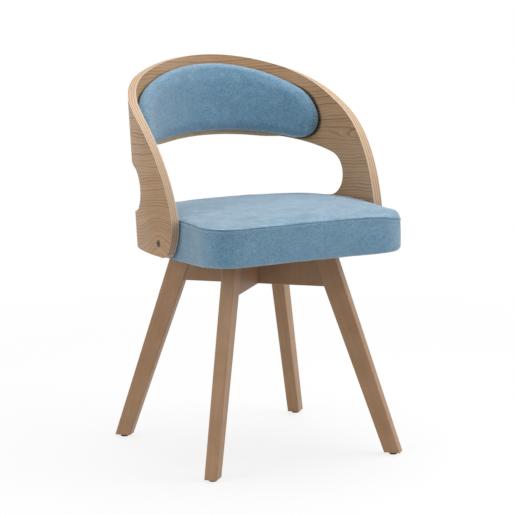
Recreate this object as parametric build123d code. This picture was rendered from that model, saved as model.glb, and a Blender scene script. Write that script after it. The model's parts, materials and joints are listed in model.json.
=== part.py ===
from build123d import *
import math
import os

# A swivel dining chair: a round-backed bent plywood shell with a window cut in it, an upholstered
# seat and back pad, a ball-race swivel, and four splayed legs on a half-lapped cross.
# Millimetres and degrees. The chair faces -Y. Every piece is drawn about the swivel axis
# x = y = 0, with the floor at z = 0, and is moved at the end so that the origin lies under
# the middle of the chair.

# Height of the seat's underside above the floor. What the seat carries is measured from there,
# and the base reaches up to the swivel below it.
SEAT_BOTTOM_Z = 418.0

# Bent plywood shell: plan of its inner face, from the middle of the back round to a wing.
BACK_INNER_Y = 181.0
BACK_RADIUS = 280.0
BACK_ANGLE = 32.4
CORNER_RADIUS = 147.0
CORNER_ANGLE = 45.4
WING_RADIUS = 415.0
PLY_THICKNESS = 16.8
SHELL_TILT = 6.3
TILT_PIVOT_DROP = 8.0

# Shell edges, as seen from the side in the shell's own tilted frame.
SHELL_BOTTOM_RISE = 2.0
SHELL_HEIGHT = 383.0
SHELL_SHOULDER_RADIUS = 288.0
WING_FRONT_Y = -112.0
WING_FRONT_HEIGHT = 56.8
WING_TOE_RADIUS = 90.0
WING_TOE_TOP_SLOPE = 81.4
WING_TOE_END_SLOPE = 130.0
WING_CORNER_RADIUS = 9.0

# Window in the shell, same frame: the rail under it, its round nose, and the pad over it.
WINDOW_RAIL_HEIGHT = 78.0
WINDOW_FRONT_Y = 11.5
WINDOW_NOSE_RADIUS = 45.7
WINDOW_PAD_GAP = 4.0

# Back pad on the inner face, same frame. The nose's drop is from the pad's top at the middle.
PAD_TOP_MARGIN = 16.0
PAD_HEIGHT = 142.0
PAD_FRONT_Y = 71.0
PAD_NOSE_RADIUS = 51.5
PAD_NOSE_DROP = 111.8
PAD_THICKNESS = 20.0
PAD_STANDOFF = 2.0
PAD_BOARD_THICKNESS = 4.0
PAD_EDGE_RADIUS = 9.0
PAD_FABRIC = 1.2
PAD_CLIP_ARCS = (50.0, 150.0)
PAD_CLIP_BELOW_TOP = 97.0
PAD_CLIP_DROP = 25.0
PAD_CLIP_RADIUS = 3.0
PAD_CLIP_COLLAR_RADIUS = 6.0
PAD_CLIP_DEPTH = 9.0

# Seat cushion.
SEAT_FRONT = 251.0
SEAT_CORNER_OVERHANG = 1.7
SEAT_CORNER_RADIUS = 78.0
SEAT_FRONT_DRAW = 3.0
SEAT_WAIST_RADIUS = 180.0
SEAT_SHELL_GAP = 4.0
SEAT_SEAM_HEIGHT = 73.5
SEAT_CROWN_RISE = 9.5
SEAT_CROWN_RADIUS = 2500.0
SEAT_CROWN_Y = -35.0
SEAT_EDGE_TUCK = 4.0
SEAT_EDGE_RISE = 8.0
SEAT_SIDE_DRAW = 1.0
SEAT_FABRIC = 1.6
SEAT_HEM = 34.0
DUST_COVER_THICKNESS = 0.8
DUST_COVER_INSET = 15.0
DUST_COVER_GAP = 2.0

# Seat board and the blocks on it that take the shell's bolts.
BOARD_THICKNESS = 15.0
BOARD_INSET = 13.0
BLOCK_WIDTH = 56.0
BLOCK_DEPTH = 30.0
BLOCK_HEIGHT = 26.0
BLOCK_SCREW_SPREAD = 36.0
BLOCK_SCREW_LENGTH = 30.0
BLOCK_SCREW_RADIUS = 2.0
BLOCK_SCREW_HEAD_RADIUS = 4.0

# Shell bolts: arc lengths along a wing from its corner and from the middle of the back, and
# height above the seat board.
BOLT_WING_ARC = 105.2
BOLT_REAR_ARC = 70.0
BOLT_RISE = 11.4
BOLT_RADIUS = 3.0
BOLT_HEAD_RADIUS = 7.5
BOLT_HEAD_THICKNESS = 2.4
BOLT_HEAD_EDGE = 0.5
BOLT_LENGTH = 50.0
BOLT_SOCKET_RADIUS = 2.3
BOLT_SOCKET_DEPTH = 2.0
SPACER_RADIUS = 8.0
INSERT_RADIUS = 5.0
INSERT_LENGTH = 15.0

# Swivel: two pressed plates, a ring of balls in a cage, and a hollow rivet.
SWIVEL_HEIGHT = 20.0
PLATE_SIZE = 170.0
PLATE_CORNER = 14.0
PLATE_THICKNESS = 2.5
PLATE_HOLE_INSET = 15.0
PLATE_HOLE_CLEARANCE = 0.25
DISH_OUTER_RADIUS = 60.0
DISH_INNER_RADIUS = 50.0
RACE_RADIUS = 36.0
RACE_GAP = 4.0
BALL_RADIUS = 3.175
BALL_COUNT = 24
BALL_CLEARANCE = 0.12
CAGE_THICKNESS = 1.6
CAGE_WIDTH = 12.0
CAGE_CLEARANCE = 0.3
RIVET_RADIUS = 8.0
RIVET_BORE = 5.5
RIVET_FLANGE_RADIUS = 13.0
RIVET_FLANGE_THICKNESS = 1.8
RIVET_PLAY = 0.15
RUNNING_FIT = 0.05

# Fixings of the swivel plates.
PLATE_SCREW_RADIUS = 2.5
PLATE_SCREW_LENGTH = 35.0
PLATE_SCREW_HEAD_RADIUS = 5.0
PLATE_SCREW_HEAD = 3.0
PLATE_SCREW_SLOT_LENGTH = 6.0
PLATE_SCREW_SLOT_WIDTH = 1.2
PLATE_SCREW_SLOT_DEPTH = 1.2
SEAT_BOLT_RADIUS = 3.0
SEAT_BOLT_HEAD_RADIUS = 6.0
SEAT_BOLT_HEAD = 3.6
TNUT_FLANGE_RADIUS = 9.5
TNUT_FLANGE = 1.4
TNUT_BARREL_RADIUS = 3.9
TNUT_BARREL = 11.0

# Legs: radial place of the inner face and depth of the leg, where it meets the beam's lower
# edge and at the foot.
LEG_TOP_INNER = 148.2
LEG_TOP_DEPTH = 43.2
LEG_FOOT_INNER = 270.6
LEG_FOOT_DEPTH = 32.6
LEG_TOP_WIDTH = 27.0
LEG_FOOT_WIDTH = 25.4
LEG_EASED_EDGE = 2.2

# Cross beams, half-lapped under the swivel.
BEAM_HEIGHT = 62.4
BEAM_WIDTH = 22.0
BEAM_EASED_EDGE = 1.2
LAP_CLEARANCE = 0.5

# Dowels between beam and leg.
DOWEL_RADIUS = 4.0
DOWEL_LENGTH = 40.0
DOWEL_MARGIN = 17.0
WOOD_FIT = 0.05

# Glides under the legs.
GLIDE_HEIGHT = 5.0
GLIDE_RADIUS = 8.5
GLIDE_TOE_RADIUS = 7.5
GLIDE_EDGE_RADIUS = 1.0
GLIDE_NAIL_RADIUS = 1.4
GLIDE_NAIL_HEAD_RADIUS = 3.5
GLIDE_NAIL_HEAD = 1.2
GLIDE_NAIL_LENGTH = 18.0
GLIDE_NAIL_RECESS = 1.5

# Staples under the seat.
STAPLE_COUNT = 36
STAPLE_CROWN = 10.0
STAPLE_WIRE = 1.0
STAPLE_LEG = 7.0
STAPLE_EDGE_MARGIN = 3.0

# How near two places are taken as the same.
CLOSE = 0.01

# Levels worked out from the sizes above.
BOARD_BOTTOM_Z = SEAT_BOTTOM_Z + SEAT_FABRIC
BOARD_TOP_Z = BOARD_BOTTOM_Z + BOARD_THICKNESS
BASE_TOP_Z = BOARD_BOTTOM_Z - SWIVEL_HEIGHT
BEAM_BOTTOM_Z = BASE_TOP_Z - BEAM_HEIGHT
BOLT_Z = BOARD_TOP_Z + BOLT_RISE
SEAT_SEAM_Z = SEAT_BOTTOM_Z + SEAT_SEAM_HEIGHT
SEAT_CROWN_Z = SEAT_SEAM_Z + SEAT_CROWN_RISE
TILT_PIVOT_Z = SEAT_BOTTOM_Z - TILT_PIVOT_DROP
SHELL_BOTTOM_Z = SEAT_BOTTOM_Z + SHELL_BOTTOM_RISE
SHELL_TOP_Z = SHELL_BOTTOM_Z + SHELL_HEIGHT
WINDOW_BOTTOM_Z = SHELL_BOTTOM_Z + WINDOW_RAIL_HEIGHT
PAD_TOP_Z = SHELL_TOP_Z - PAD_TOP_MARGIN
PAD_BOTTOM_Z = PAD_TOP_Z - PAD_HEIGHT
WINDOW_TOP_Z = PAD_BOTTOM_Z - WINDOW_PAD_GAP
PLATE_HOLE_SPACING = PLATE_SIZE - 2 * PLATE_HOLE_INSET
PLATE_HOLE_RADIUS = max(SEAT_BOLT_RADIUS, PLATE_SCREW_RADIUS) + PLATE_HOLE_CLEARANCE

# The legs' names, in turn from the rear right.
CORNER_NAMES = ("rear_right", "rear_left", "front_left", "front_right")


def corner_turns():
    """How far a piece drawn along +X is turned to reach each leg."""
    count = len(CORNER_NAMES)
    return {name: 360 * (index + 0.5) / count for index, name in enumerate(CORNER_NAMES)}


def polar(centre, radius, angle):
    """Point at a radius and an angle that turns from +Y towards +X."""
    turn = math.radians(angle)
    return (centre[0] + radius * math.sin(turn), centre[1] + radius * math.cos(turn))


def back_centre():
    return (0.0, BACK_INNER_Y - BACK_RADIUS)


def corner_centre():
    return polar(back_centre(), BACK_RADIUS - CORNER_RADIUS, BACK_ANGLE)


def wing_centre():
    return polar(corner_centre(), CORNER_RADIUS - WING_RADIUS, BACK_ANGLE + CORNER_ANGLE)


def wing_half_width():
    """How far from the middle the wings' inner faces reach at their widest."""
    return wing_centre()[0] + WING_RADIUS


def back_and_corner_lengths():
    """Arc lengths of half the back, and of one corner."""
    return BACK_RADIUS * math.radians(BACK_ANGLE), CORNER_RADIUS * math.radians(CORNER_ANGLE)


def plan_station(arc, offset=0.0):
    """Point of the shell's plan at an arc length from the middle of the back, and its normal."""
    side = math.copysign(1.0, arc)
    length = abs(arc)
    back_length, corner_length = back_and_corner_lengths()
    if length <= back_length:
        angle = math.degrees(length / BACK_RADIUS)
        point = polar(back_centre(), BACK_RADIUS + offset, angle)
    elif length <= back_length + corner_length:
        angle = BACK_ANGLE + math.degrees((length - back_length) / CORNER_RADIUS)
        point = polar(corner_centre(), CORNER_RADIUS + offset, angle)
    else:
        rest = length - back_length - corner_length
        angle = BACK_ANGLE + CORNER_ANGLE + math.degrees(rest / WING_RADIUS)
        point = polar(wing_centre(), WING_RADIUS + offset, angle)
    return (side * point[0], point[1]), side * angle


def arc_about(centre, radius, start, end):
    """Arc about a centre, between two angles that turn from +Y towards +X."""
    middle = (start + end) / 2
    first, second, third = [polar(centre, radius, angle) for angle in (start, middle, end)]
    return ThreePointArc(first, second, third)


def mirrored_arcs(centre, radius, start, end):
    """The arc about a centre, and its image on the other side of the chair."""
    left_centre = (-centre[0], centre[1])
    return [arc_about(centre, radius, start, end), arc_about(left_centre, radius, -start, -end)]


def plan_wire(offset):
    """Plan of the bent sheet at an offset outside its inner face, drawn on past the wing tips."""
    reach = BACK_INNER_Y - WING_FRONT_Y + rear_margin()
    wing_start = BACK_ANGLE + CORNER_ANGLE
    wing_end = wing_start + math.degrees(reach / WING_RADIUS)
    back = arc_about(back_centre(), BACK_RADIUS + offset, -BACK_ANGLE, BACK_ANGLE)
    corners = mirrored_arcs(corner_centre(), CORNER_RADIUS + offset, BACK_ANGLE, wing_start)
    wings = mirrored_arcs(wing_centre(), WING_RADIUS + offset, wing_start, wing_end)
    return Wire([back] + corners + wings)


def through_chair(profile):
    """Solid that carries a face, drawn as (y, z), right through the chair along X."""
    return extrude(Plane.YZ * profile, 2 * wing_half_width(), both=True)


def bent_sheet(profile, offset, thickness):
    """Sheet bent to the shell's plan, cut to a side profile, with its edges square to its face.

    The offset is that of the sheet's inner face, and the thickness is laid outside it."""
    tall = SHELL_TOP_Z + PLY_THICKNESS
    surface = Shell.extrude(plan_wire(offset), (0, 0, tall))
    trimmed = surface & profile
    return Solid.thicken(Shell(trimmed.faces()), thickness)


def tilted(shape):
    """The shape turned back from the shell's own upright frame to where the shell leans."""
    return Pos(0, 0, TILT_PIVOT_Z) * Rot(-SHELL_TILT, 0, 0) * Pos(0, 0, -TILT_PIVOT_Z) * shape


def tilted_height(y, world_z):
    """Height in the shell's own frame of a point at its own y that lies at a height on the chair."""
    turn = math.radians(SHELL_TILT)
    return TILT_PIVOT_Z + (world_z - TILT_PIVOT_Z + y * math.sin(turn)) / math.cos(turn)


def rear_margin():
    return 4 * PLY_THICKNESS


def edge_slope(rear, centre, radius):
    """Slope of the straight edge from a rear point that runs into the top of a circle, or into
    its underside where the radius is negative."""
    run, rise = rear[0] - centre[0], rear[1] - centre[1]
    return math.degrees(math.atan2(rise, run) - math.asin(radius / math.hypot(run, rise)))


def shell_profile():
    """Side outline of the shell: sloping top, shoulder, wing front, toe and level bottom."""
    toe_centre = (WING_FRONT_Y + WING_TOE_RADIUS, SHELL_BOTTOM_Z + WING_FRONT_HEIGHT)
    toe = arc_about(toe_centre, WING_TOE_RADIUS, -WING_TOE_TOP_SLOPE, -WING_TOE_END_SLOPE)
    centre_gap = SHELL_SHOULDER_RADIUS - WING_TOE_RADIUS
    shoulder_centre = polar(toe_centre, -centre_gap, -WING_TOE_TOP_SLOPE)
    top_slope = edge_slope((BACK_INNER_Y, SHELL_TOP_Z), shoulder_centre, SHELL_SHOULDER_RADIUS)
    shoulder = arc_about(shoulder_centre, SHELL_SHOULDER_RADIUS, -top_slope, -WING_TOE_TOP_SLOPE)
    toe_end = polar(toe_centre, WING_TOE_RADIUS, -WING_TOE_END_SLOPE)
    toe_tip = polar(toe_end, rear_margin(), 270 - WING_TOE_END_SLOPE)
    rear = BACK_INNER_Y + rear_margin()
    rear_top = (rear, SHELL_TOP_Z + rear_margin() * math.tan(math.radians(top_slope)))
    rear_low = (rear, toe_tip[1])
    outline = make_face([
        Line(rear_top, shoulder @ 0), shoulder, toe, Line(toe_end, toe_tip),
        Line(toe_tip, rear_low), Line(rear_low, rear_top),
    ])
    front = WING_FRONT_Y - rear_margin()
    above_bottom = make_face(Polyline(
        (front, tilted_height(front, SHELL_BOTTOM_Z)), (rear, tilted_height(rear, SHELL_BOTTOM_Z)),
        rear_top, (front, rear_top[1]), close=True,
    ))
    outline = outline & above_bottom
    toe_corner = outline.vertices().sort_by(Axis.Y)[0]
    return fillet(toe_corner, WING_CORNER_RADIUS)


def nose_profile(front_y, nose_radius, nose_z, top_z, bottom_z, inset=0.0):
    """Side outline with two straight edges that run back from a round nose, drawn in by an inset.

    Each edge's height is given where it crosses the inner face at the middle of the back."""
    centre = (front_y + nose_radius, nose_z)
    top_slope = edge_slope((BACK_INNER_Y, top_z), centre, nose_radius)
    bottom_slope = edge_slope((BACK_INNER_Y, bottom_z), centre, -nose_radius)
    nose = arc_about(centre, nose_radius - inset, -top_slope, -180 - bottom_slope)
    top, bottom = math.radians(top_slope), math.radians(bottom_slope)
    margin = rear_margin()
    rear = BACK_INNER_Y + margin
    rear_top = (rear, top_z + margin * math.tan(top) - inset / math.cos(top))
    rear_bottom = (rear, bottom_z + margin * math.tan(bottom) + inset / math.cos(bottom))
    top_edge = Line(rear_top, nose @ 0)
    bottom_edge = Line(nose @ 1, rear_bottom)
    return make_face([top_edge, nose, bottom_edge, Line(rear_bottom, rear_top)])


def window_profile():
    nose_z = WINDOW_BOTTOM_Z + WINDOW_NOSE_RADIUS
    return nose_profile(WINDOW_FRONT_Y, WINDOW_NOSE_RADIUS, nose_z, WINDOW_TOP_Z, WINDOW_BOTTOM_Z)


def pad_profile(inset):
    nose_z = PAD_TOP_Z - PAD_NOSE_DROP
    return nose_profile(PAD_FRONT_Y, PAD_NOSE_RADIUS, nose_z, PAD_TOP_Z, PAD_BOTTOM_Z, inset)


def upright_shell():
    """The bent plywood in its own upright frame."""
    sheet = through_chair(shell_profile()) - through_chair(window_profile())
    return bent_sheet(sheet, 0.0, PLY_THICKNESS)


def sheet_offset(point):
    """How far outside the shell's inner face a point of its plan lies."""
    centre = back_centre()
    if abs(math.degrees(math.atan2(point.X, point.Y - centre[1]))) <= BACK_ANGLE:
        return math.hypot(point.X, point.Y - centre[1]) - BACK_RADIUS
    centre = corner_centre()
    return math.hypot(abs(point.X) - centre[0], point.Y - centre[1]) - CORNER_RADIUS


def upright_pad(inset, front, edge_radius):
    """Pad body behind its front face, with that face's edge rounded, in the shell's own frame."""
    offset = -PAD_STANDOFF - front
    body = bent_sheet(through_chair(pad_profile(inset)), offset, front)
    rim = [
        edge for edge in body.edges().filter_by(Axis.Z, reverse=True)
        if abs(sheet_offset(edge @ 0.5) - offset) < CLOSE
    ]
    return fillet(rim, edge_radius)


def pad_board_layer():
    """Thin bent layer, wider than the pad, from which the pad's board is cut."""
    profile = through_chair(pad_profile(-PAD_EDGE_RADIUS))
    return bent_sheet(profile, -PAD_STANDOFF - PAD_BOARD_THICKNESS, PAD_BOARD_THICKNESS)


def pad_clip_stations():
    """Arc length and height of each clip, along the middle of the pad."""
    near, far = PAD_CLIP_ARCS
    near_z = PAD_TOP_Z - PAD_CLIP_BELOW_TOP
    far_z = near_z - PAD_CLIP_DROP
    return [(-far, far_z), (-near, near_z), (near, near_z), (far, far_z)]


def normal_plane(arc, height, offset):
    """Plane square to the bent sheet, facing outwards, at an offset outside its inner face."""
    point, angle = plan_station(arc, offset)
    normal = polar((0.0, 0.0), 1.0, angle)
    along = (normal[1], -normal[0], 0)
    return Plane(origin=(point[0], point[1], height), x_dir=along, z_dir=(*normal, 0))


def pad_clip(arc, height, clearance):
    """Push-in clip: a pin from the pad board into the shell, with a collar between them."""
    collar_base = normal_plane(arc, height, -PAD_STANDOFF + WOOD_FIT)
    back_of_board = normal_plane(arc, height, -PAD_STANDOFF - PAD_BOARD_THICKNESS)
    pin_length = PAD_BOARD_THICKNESS + PAD_STANDOFF + PAD_CLIP_DEPTH
    pin = back_of_board * cylinder_up(PAD_CLIP_RADIUS + clearance, pin_length + clearance)
    collar = collar_base * cylinder_up(PAD_CLIP_COLLAR_RADIUS, PAD_STANDOFF - 2 * WOOD_FIT)
    return pin if clearance else pin + collar


def cylinder_up(radius, height):
    return Cylinder(radius, height, align=(Align.CENTER, Align.CENTER, Align.MIN))


def all_of(pieces):
    """One group of separate solids."""
    return Compound([piece.solid() for piece in pieces])


def circles_meet(first, first_radius, second, second_radius):
    """The point where two circles cross that lies to the left of the way from first to second."""
    span = math.dist(first, second)
    along = (span ** 2 + first_radius ** 2 - second_radius ** 2) / (2 * span)
    aside = math.sqrt(first_radius ** 2 - along ** 2)
    way = ((second[0] - first[0]) / span, (second[1] - first[1]) / span)
    return (first[0] + along * way[0] - aside * way[1], first[1] + along * way[1] + aside * way[0])


def bearing(centre, target):
    """Angle from a centre to a target, turning from +Y towards +X."""
    return math.degrees(math.atan2(target[0] - centre[0], target[1] - centre[1])) % 360


def seat_wire(inset, height):
    """Plan of the seat cushion at a height: drawn-in front, round corners, a waist, and a back
    that follows the leaning shell."""
    lean = (height - TILT_PIVOT_Z) * math.tan(math.radians(SHELL_TILT))
    back, side, wing = [
        (centre[0], centre[1] + lean) for centre in (back_centre(), corner_centre(), wing_centre())
    ]
    half_width = wing_half_width() + SEAT_CORNER_OVERHANG
    corner = (half_width - SEAT_CORNER_RADIUS, SEAT_CORNER_RADIUS - SEAT_FRONT)
    rise = SEAT_CORNER_RADIUS - SEAT_FRONT_DRAW
    front_radius = (corner[0] ** 2 + rise ** 2 - SEAT_CORNER_RADIUS ** 2) / (2 * SEAT_FRONT_DRAW)
    front = (0.0, corner[1] - rise - front_radius)
    wing_radius = WING_RADIUS - SEAT_SHELL_GAP
    waist = circles_meet(
        wing, wing_radius + SEAT_WAIST_RADIUS, corner, SEAT_CORNER_RADIUS + SEAT_WAIST_RADIUS)
    waist_from_wing = bearing(wing, waist)
    waist_from_corner = bearing(corner, waist)
    front_from_corner = bearing(corner, front)
    wing_start = BACK_ANGLE + CORNER_ANGLE
    back_inset = SEAT_SHELL_GAP + inset
    front_turn = bearing(front, corner)
    edges = [
        arc_about(front, front_radius + inset, -front_turn, front_turn),
        arc_about(back, BACK_RADIUS - back_inset, -BACK_ANGLE, BACK_ANGLE),
    ]
    edges += mirrored_arcs(corner, SEAT_CORNER_RADIUS - inset, waist_from_corner, front_from_corner)
    waist_start, waist_end = waist_from_corner + 180, waist_from_wing + 180
    edges += mirrored_arcs(waist, SEAT_WAIST_RADIUS + inset, waist_start, waist_end)
    edges += mirrored_arcs(wing, wing_radius - inset, wing_start, waist_from_wing)
    edges += mirrored_arcs(side, CORNER_RADIUS - back_inset, BACK_ANGLE, wing_start)
    return Pos(0, 0, height) * Wire(edges)


def seat_slab(inset, bottom, thickness):
    """Flat slab with the seat's plan."""
    return extrude(Face(seat_wire(inset, bottom)), thickness, dir=(0, 0, 1))


def cushion_form(inset):
    """Crowned cushion with swelling sides, drawn in all round by an inset."""
    top = SEAT_CROWN_Z + SEAT_EDGE_TUCK
    middle = (SEAT_BOTTOM_Z + SEAT_SEAM_Z) / 2
    levels = [
        (SEAT_BOTTOM_Z + inset, SEAT_EDGE_TUCK),
        (SEAT_BOTTOM_Z + SEAT_EDGE_RISE, SEAT_SIDE_DRAW),
        (middle, 0.0),
        (SEAT_SEAM_Z - SEAT_EDGE_RISE, SEAT_SIDE_DRAW),
        (top, SEAT_EDGE_TUCK + SEAT_EDGE_RISE),
    ]
    body = loft([Face(seat_wire(inset + draw, level)) for level, draw in levels], ruled=True)
    crown_centre = Pos(0, SEAT_CROWN_Y, SEAT_CROWN_Z - SEAT_CROWN_RADIUS)
    return body & crown_centre * Sphere(SEAT_CROWN_RADIUS - inset)


def bolt_stations():
    """Arc length of each shell bolt, left to right."""
    side_arc = sum(back_and_corner_lengths()) + BOLT_WING_ARC
    return [-side_arc, -BOLT_REAR_ARC, BOLT_REAR_ARC, side_arc]


def bolt_plane(arc, offset):
    """Level plane on a shell bolt's axis, facing outwards, at an offset outside the inner face."""
    turn = math.radians(SHELL_TILT)
    point, angle = plan_station(arc)
    normal = polar((0.0, 0.0), 1.0, angle)
    depth = point[1] / math.cos(turn) + (BOLT_Z - TILT_PIVOT_Z) * math.tan(turn)
    origin = (point[0] + offset * normal[0], depth + offset * normal[1], BOLT_Z)
    return Plane(origin=origin, x_dir=(normal[1], -normal[0], 0), z_dir=(*normal, 0))


def bolt_head_depth():
    """Offset of the underside of a shell bolt's head, sunk flush in the shell's outer face."""
    return PLY_THICKNESS - BOLT_HEAD_THICKNESS


def bolt_hole(arc):
    """Clearance hole for a shell bolt through everything outside its insert, with a flat recess."""
    start = bolt_head_depth() - BOLT_LENGTH - WOOD_FIT
    shank = bolt_plane(arc, start) * cylinder_up(BOLT_RADIUS + WOOD_FIT, BOLT_LENGTH + PLY_THICKNESS)
    seat = bolt_plane(arc, bolt_head_depth())
    recess = seat * cylinder_up(BOLT_HEAD_RADIUS + WOOD_FIT, PLY_THICKNESS)
    return shank + recess


def shell_bolt(arc):
    """Flat-headed bolt with a hexagon socket."""
    head = bolt_plane(arc, bolt_head_depth()) * cylinder_up(BOLT_HEAD_RADIUS, BOLT_HEAD_THICKNESS)
    shank = bolt_plane(arc, bolt_head_depth() - BOLT_LENGTH) * cylinder_up(BOLT_RADIUS, BOLT_LENGTH)
    socket_floor = bolt_plane(arc, PLY_THICKNESS - BOLT_SOCKET_DEPTH)
    socket = extrude(socket_floor * RegularPolygon(BOLT_SOCKET_RADIUS, 6), BOLT_SOCKET_DEPTH)
    face_centre = bolt_plane(arc, PLY_THICKNESS).origin
    rim = head.edges().sort_by_distance(face_centre)[:1]
    return chamfer(rim, BOLT_HEAD_EDGE) + shank - socket


def block_face():
    """Offset of a block's outer face from the shell's inner face: level with the board's edge."""
    return -SEAT_SHELL_GAP - BOARD_INSET


def solid_block(arc):
    """Hardwood block on the seat board, square to a shell bolt, before it is drilled."""
    body = Box(BLOCK_WIDTH, BLOCK_HEIGHT, BLOCK_DEPTH, align=(Align.CENTER, Align.CENTER, Align.MAX))
    lift = BOARD_TOP_Z + BLOCK_HEIGHT / 2 - BOLT_Z
    return bolt_plane(arc, block_face()) * Pos(0, -lift, 0) * body


def block(arc):
    """The block, drilled for its bolt, insert and screws."""
    insert_bore = bolt_plane(arc, block_face() - INSERT_LENGTH - WOOD_FIT)
    bore = insert_bore * cylinder_up(INSERT_RADIUS + WOOD_FIT, INSERT_LENGTH + 2 * WOOD_FIT)
    return solid_block(arc) - bore - bolt_hole(arc) - all_of(block_screws_at(arc, WOOD_FIT))


def threaded_insert(arc):
    """Threaded sleeve in a block's outer face."""
    sleeve = cylinder_up(INSERT_RADIUS, INSERT_LENGTH)
    sleeve -= cylinder_up(BOLT_RADIUS + WOOD_FIT, INSERT_LENGTH)
    return bolt_plane(arc, block_face() - INSERT_LENGTH) * sleeve


def spacer(arc, shell):
    """Sleeve that carries the shell clear of the cushion, shaped to the shell's inner face."""
    reach = PLY_THICKNESS / 2 - block_face()
    sleeve = cylinder_up(SPACER_RADIUS, reach) - cylinder_up(BOLT_RADIUS + 2 * WOOD_FIT, reach)
    return bolt_plane(arc, block_face()) * sleeve - shell


def spacer_hole(arc):
    """Hole through foam and cover for a spacer."""
    reach = PLY_THICKNESS - block_face()
    return bolt_plane(arc, block_face()) * cylinder_up(SPACER_RADIUS + WOOD_FIT, reach)


def block_screws_at(arc, clearance):
    """The two countersunk screws that hold a block, driven up through the seat board."""
    point, angle = plan_station(arc, block_face() - BLOCK_DEPTH / 2)
    turn = math.radians(SHELL_TILT)
    depth = point[1] / math.cos(turn) + (BOLT_Z - TILT_PIVOT_Z) * math.tan(turn)
    along = polar((0.0, 0.0), BLOCK_SCREW_SPREAD / 2, angle + 90)
    shank = cylinder_up(BLOCK_SCREW_RADIUS + clearance, BLOCK_SCREW_LENGTH + clearance)
    head = Cone(
        BLOCK_SCREW_HEAD_RADIUS + clearance, BLOCK_SCREW_RADIUS + clearance,
        BLOCK_SCREW_HEAD_RADIUS - BLOCK_SCREW_RADIUS, align=(Align.CENTER, Align.CENTER, Align.MIN))
    return [
        Pos(point[0] + side * along[0], depth + side * along[1], BOARD_BOTTOM_Z) * (shank + head)
        for side in (-1, 1)
    ]


def all_block_screws(clearance):
    return [screw for arc in bolt_stations() for screw in block_screws_at(arc, clearance)]


def t_nut():
    """Flanged T-nut, drawn hanging from the top of the seat board."""
    flange = cylinder_up(TNUT_FLANGE_RADIUS, TNUT_FLANGE)
    barrel = Pos(0, 0, -TNUT_BARREL) * cylinder_up(TNUT_BARREL_RADIUS, TNUT_BARREL)
    bore = Pos(0, 0, -TNUT_BARREL) * cylinder_up(SEAT_BOLT_RADIUS + WOOD_FIT, TNUT_BARREL + TNUT_FLANGE)
    return flange + barrel - bore


def seat_bolt():
    """Socket-headed bolt, drawn with its head against z = 0 from below."""
    shank = cylinder_up(SEAT_BOLT_RADIUS, PLATE_THICKNESS + BOARD_THICKNESS)
    head = Pos(0, 0, -SEAT_BOLT_HEAD) * cylinder_up(SEAT_BOLT_HEAD_RADIUS, SEAT_BOLT_HEAD)
    socket = extrude(RegularPolygon(BOLT_SOCKET_RADIUS, 6), BOLT_SOCKET_DEPTH)
    return head + shank - Pos(0, 0, -SEAT_BOLT_HEAD) * socket


def plate_screw(clearance):
    """Pan-headed wood screw, drawn pointing down from z = 0."""
    shank = Pos(0, 0, -PLATE_SCREW_LENGTH - clearance)
    shank = shank * cylinder_up(PLATE_SCREW_RADIUS + clearance, PLATE_SCREW_LENGTH + clearance)
    head = cylinder_up(PLATE_SCREW_HEAD_RADIUS, PLATE_SCREW_HEAD)
    arm = Box(PLATE_SCREW_SLOT_LENGTH, PLATE_SCREW_SLOT_WIDTH, 2 * PLATE_SCREW_SLOT_DEPTH)
    slot = Pos(0, 0, PLATE_SCREW_HEAD) * (arm + Rot(0, 0, 90) * arm)
    return shank if clearance else shank + head - slot


def at_plate_corners(piece, height):
    half = PLATE_HOLE_SPACING / 2
    return [Pos(x, y, height) * piece for x in (-half, half) for y in (-half, half)]


def seat_board():
    board = seat_slab(BOARD_INSET, BOARD_BOTTOM_Z, BOARD_THICKNESS)
    barrel = cylinder_up(TNUT_BARREL_RADIUS + WOOD_FIT, BOARD_THICKNESS)
    board -= all_of(at_plate_corners(barrel, BOARD_BOTTOM_Z))
    return board - all_of(all_block_screws(WOOD_FIT))


def seat_cover():
    """Fabric skin of the seat, open underneath inside its turned-in hem."""
    cover = cushion_form(0.0) - cushion_form(SEAT_FABRIC)
    cover -= seat_slab(SEAT_HEM, SEAT_BOTTOM_Z - SEAT_FABRIC, 2 * SEAT_FABRIC)
    return cover - all_of([spacer_hole(arc) for arc in bolt_stations()])


def seat_foam():
    """Foam that fills the cover above and round the board."""
    foam = cushion_form(SEAT_FABRIC) - seat_slab(BOARD_INSET, BOARD_BOTTOM_Z, BOARD_THICKNESS)
    foam -= all_of([solid_block(arc) for arc in bolt_stations()])
    foam -= all_of([spacer_hole(arc) for arc in bolt_stations()])
    flange = cylinder_up(TNUT_FLANGE_RADIUS, TNUT_FLANGE)
    return foam - all_of(at_plate_corners(flange, BOARD_TOP_Z))


def dust_cover():
    """Thin cloth under the seat, cut out round the swivel plate."""
    cloth = seat_slab(DUST_COVER_INSET, SEAT_BOTTOM_Z - DUST_COVER_THICKNESS, DUST_COVER_THICKNESS)
    opening = PLATE_SIZE + 2 * DUST_COVER_GAP
    return cloth - Pos(0, 0, SEAT_BOTTOM_Z) * Box(opening, opening, 4 * DUST_COVER_THICKNESS)


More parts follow.
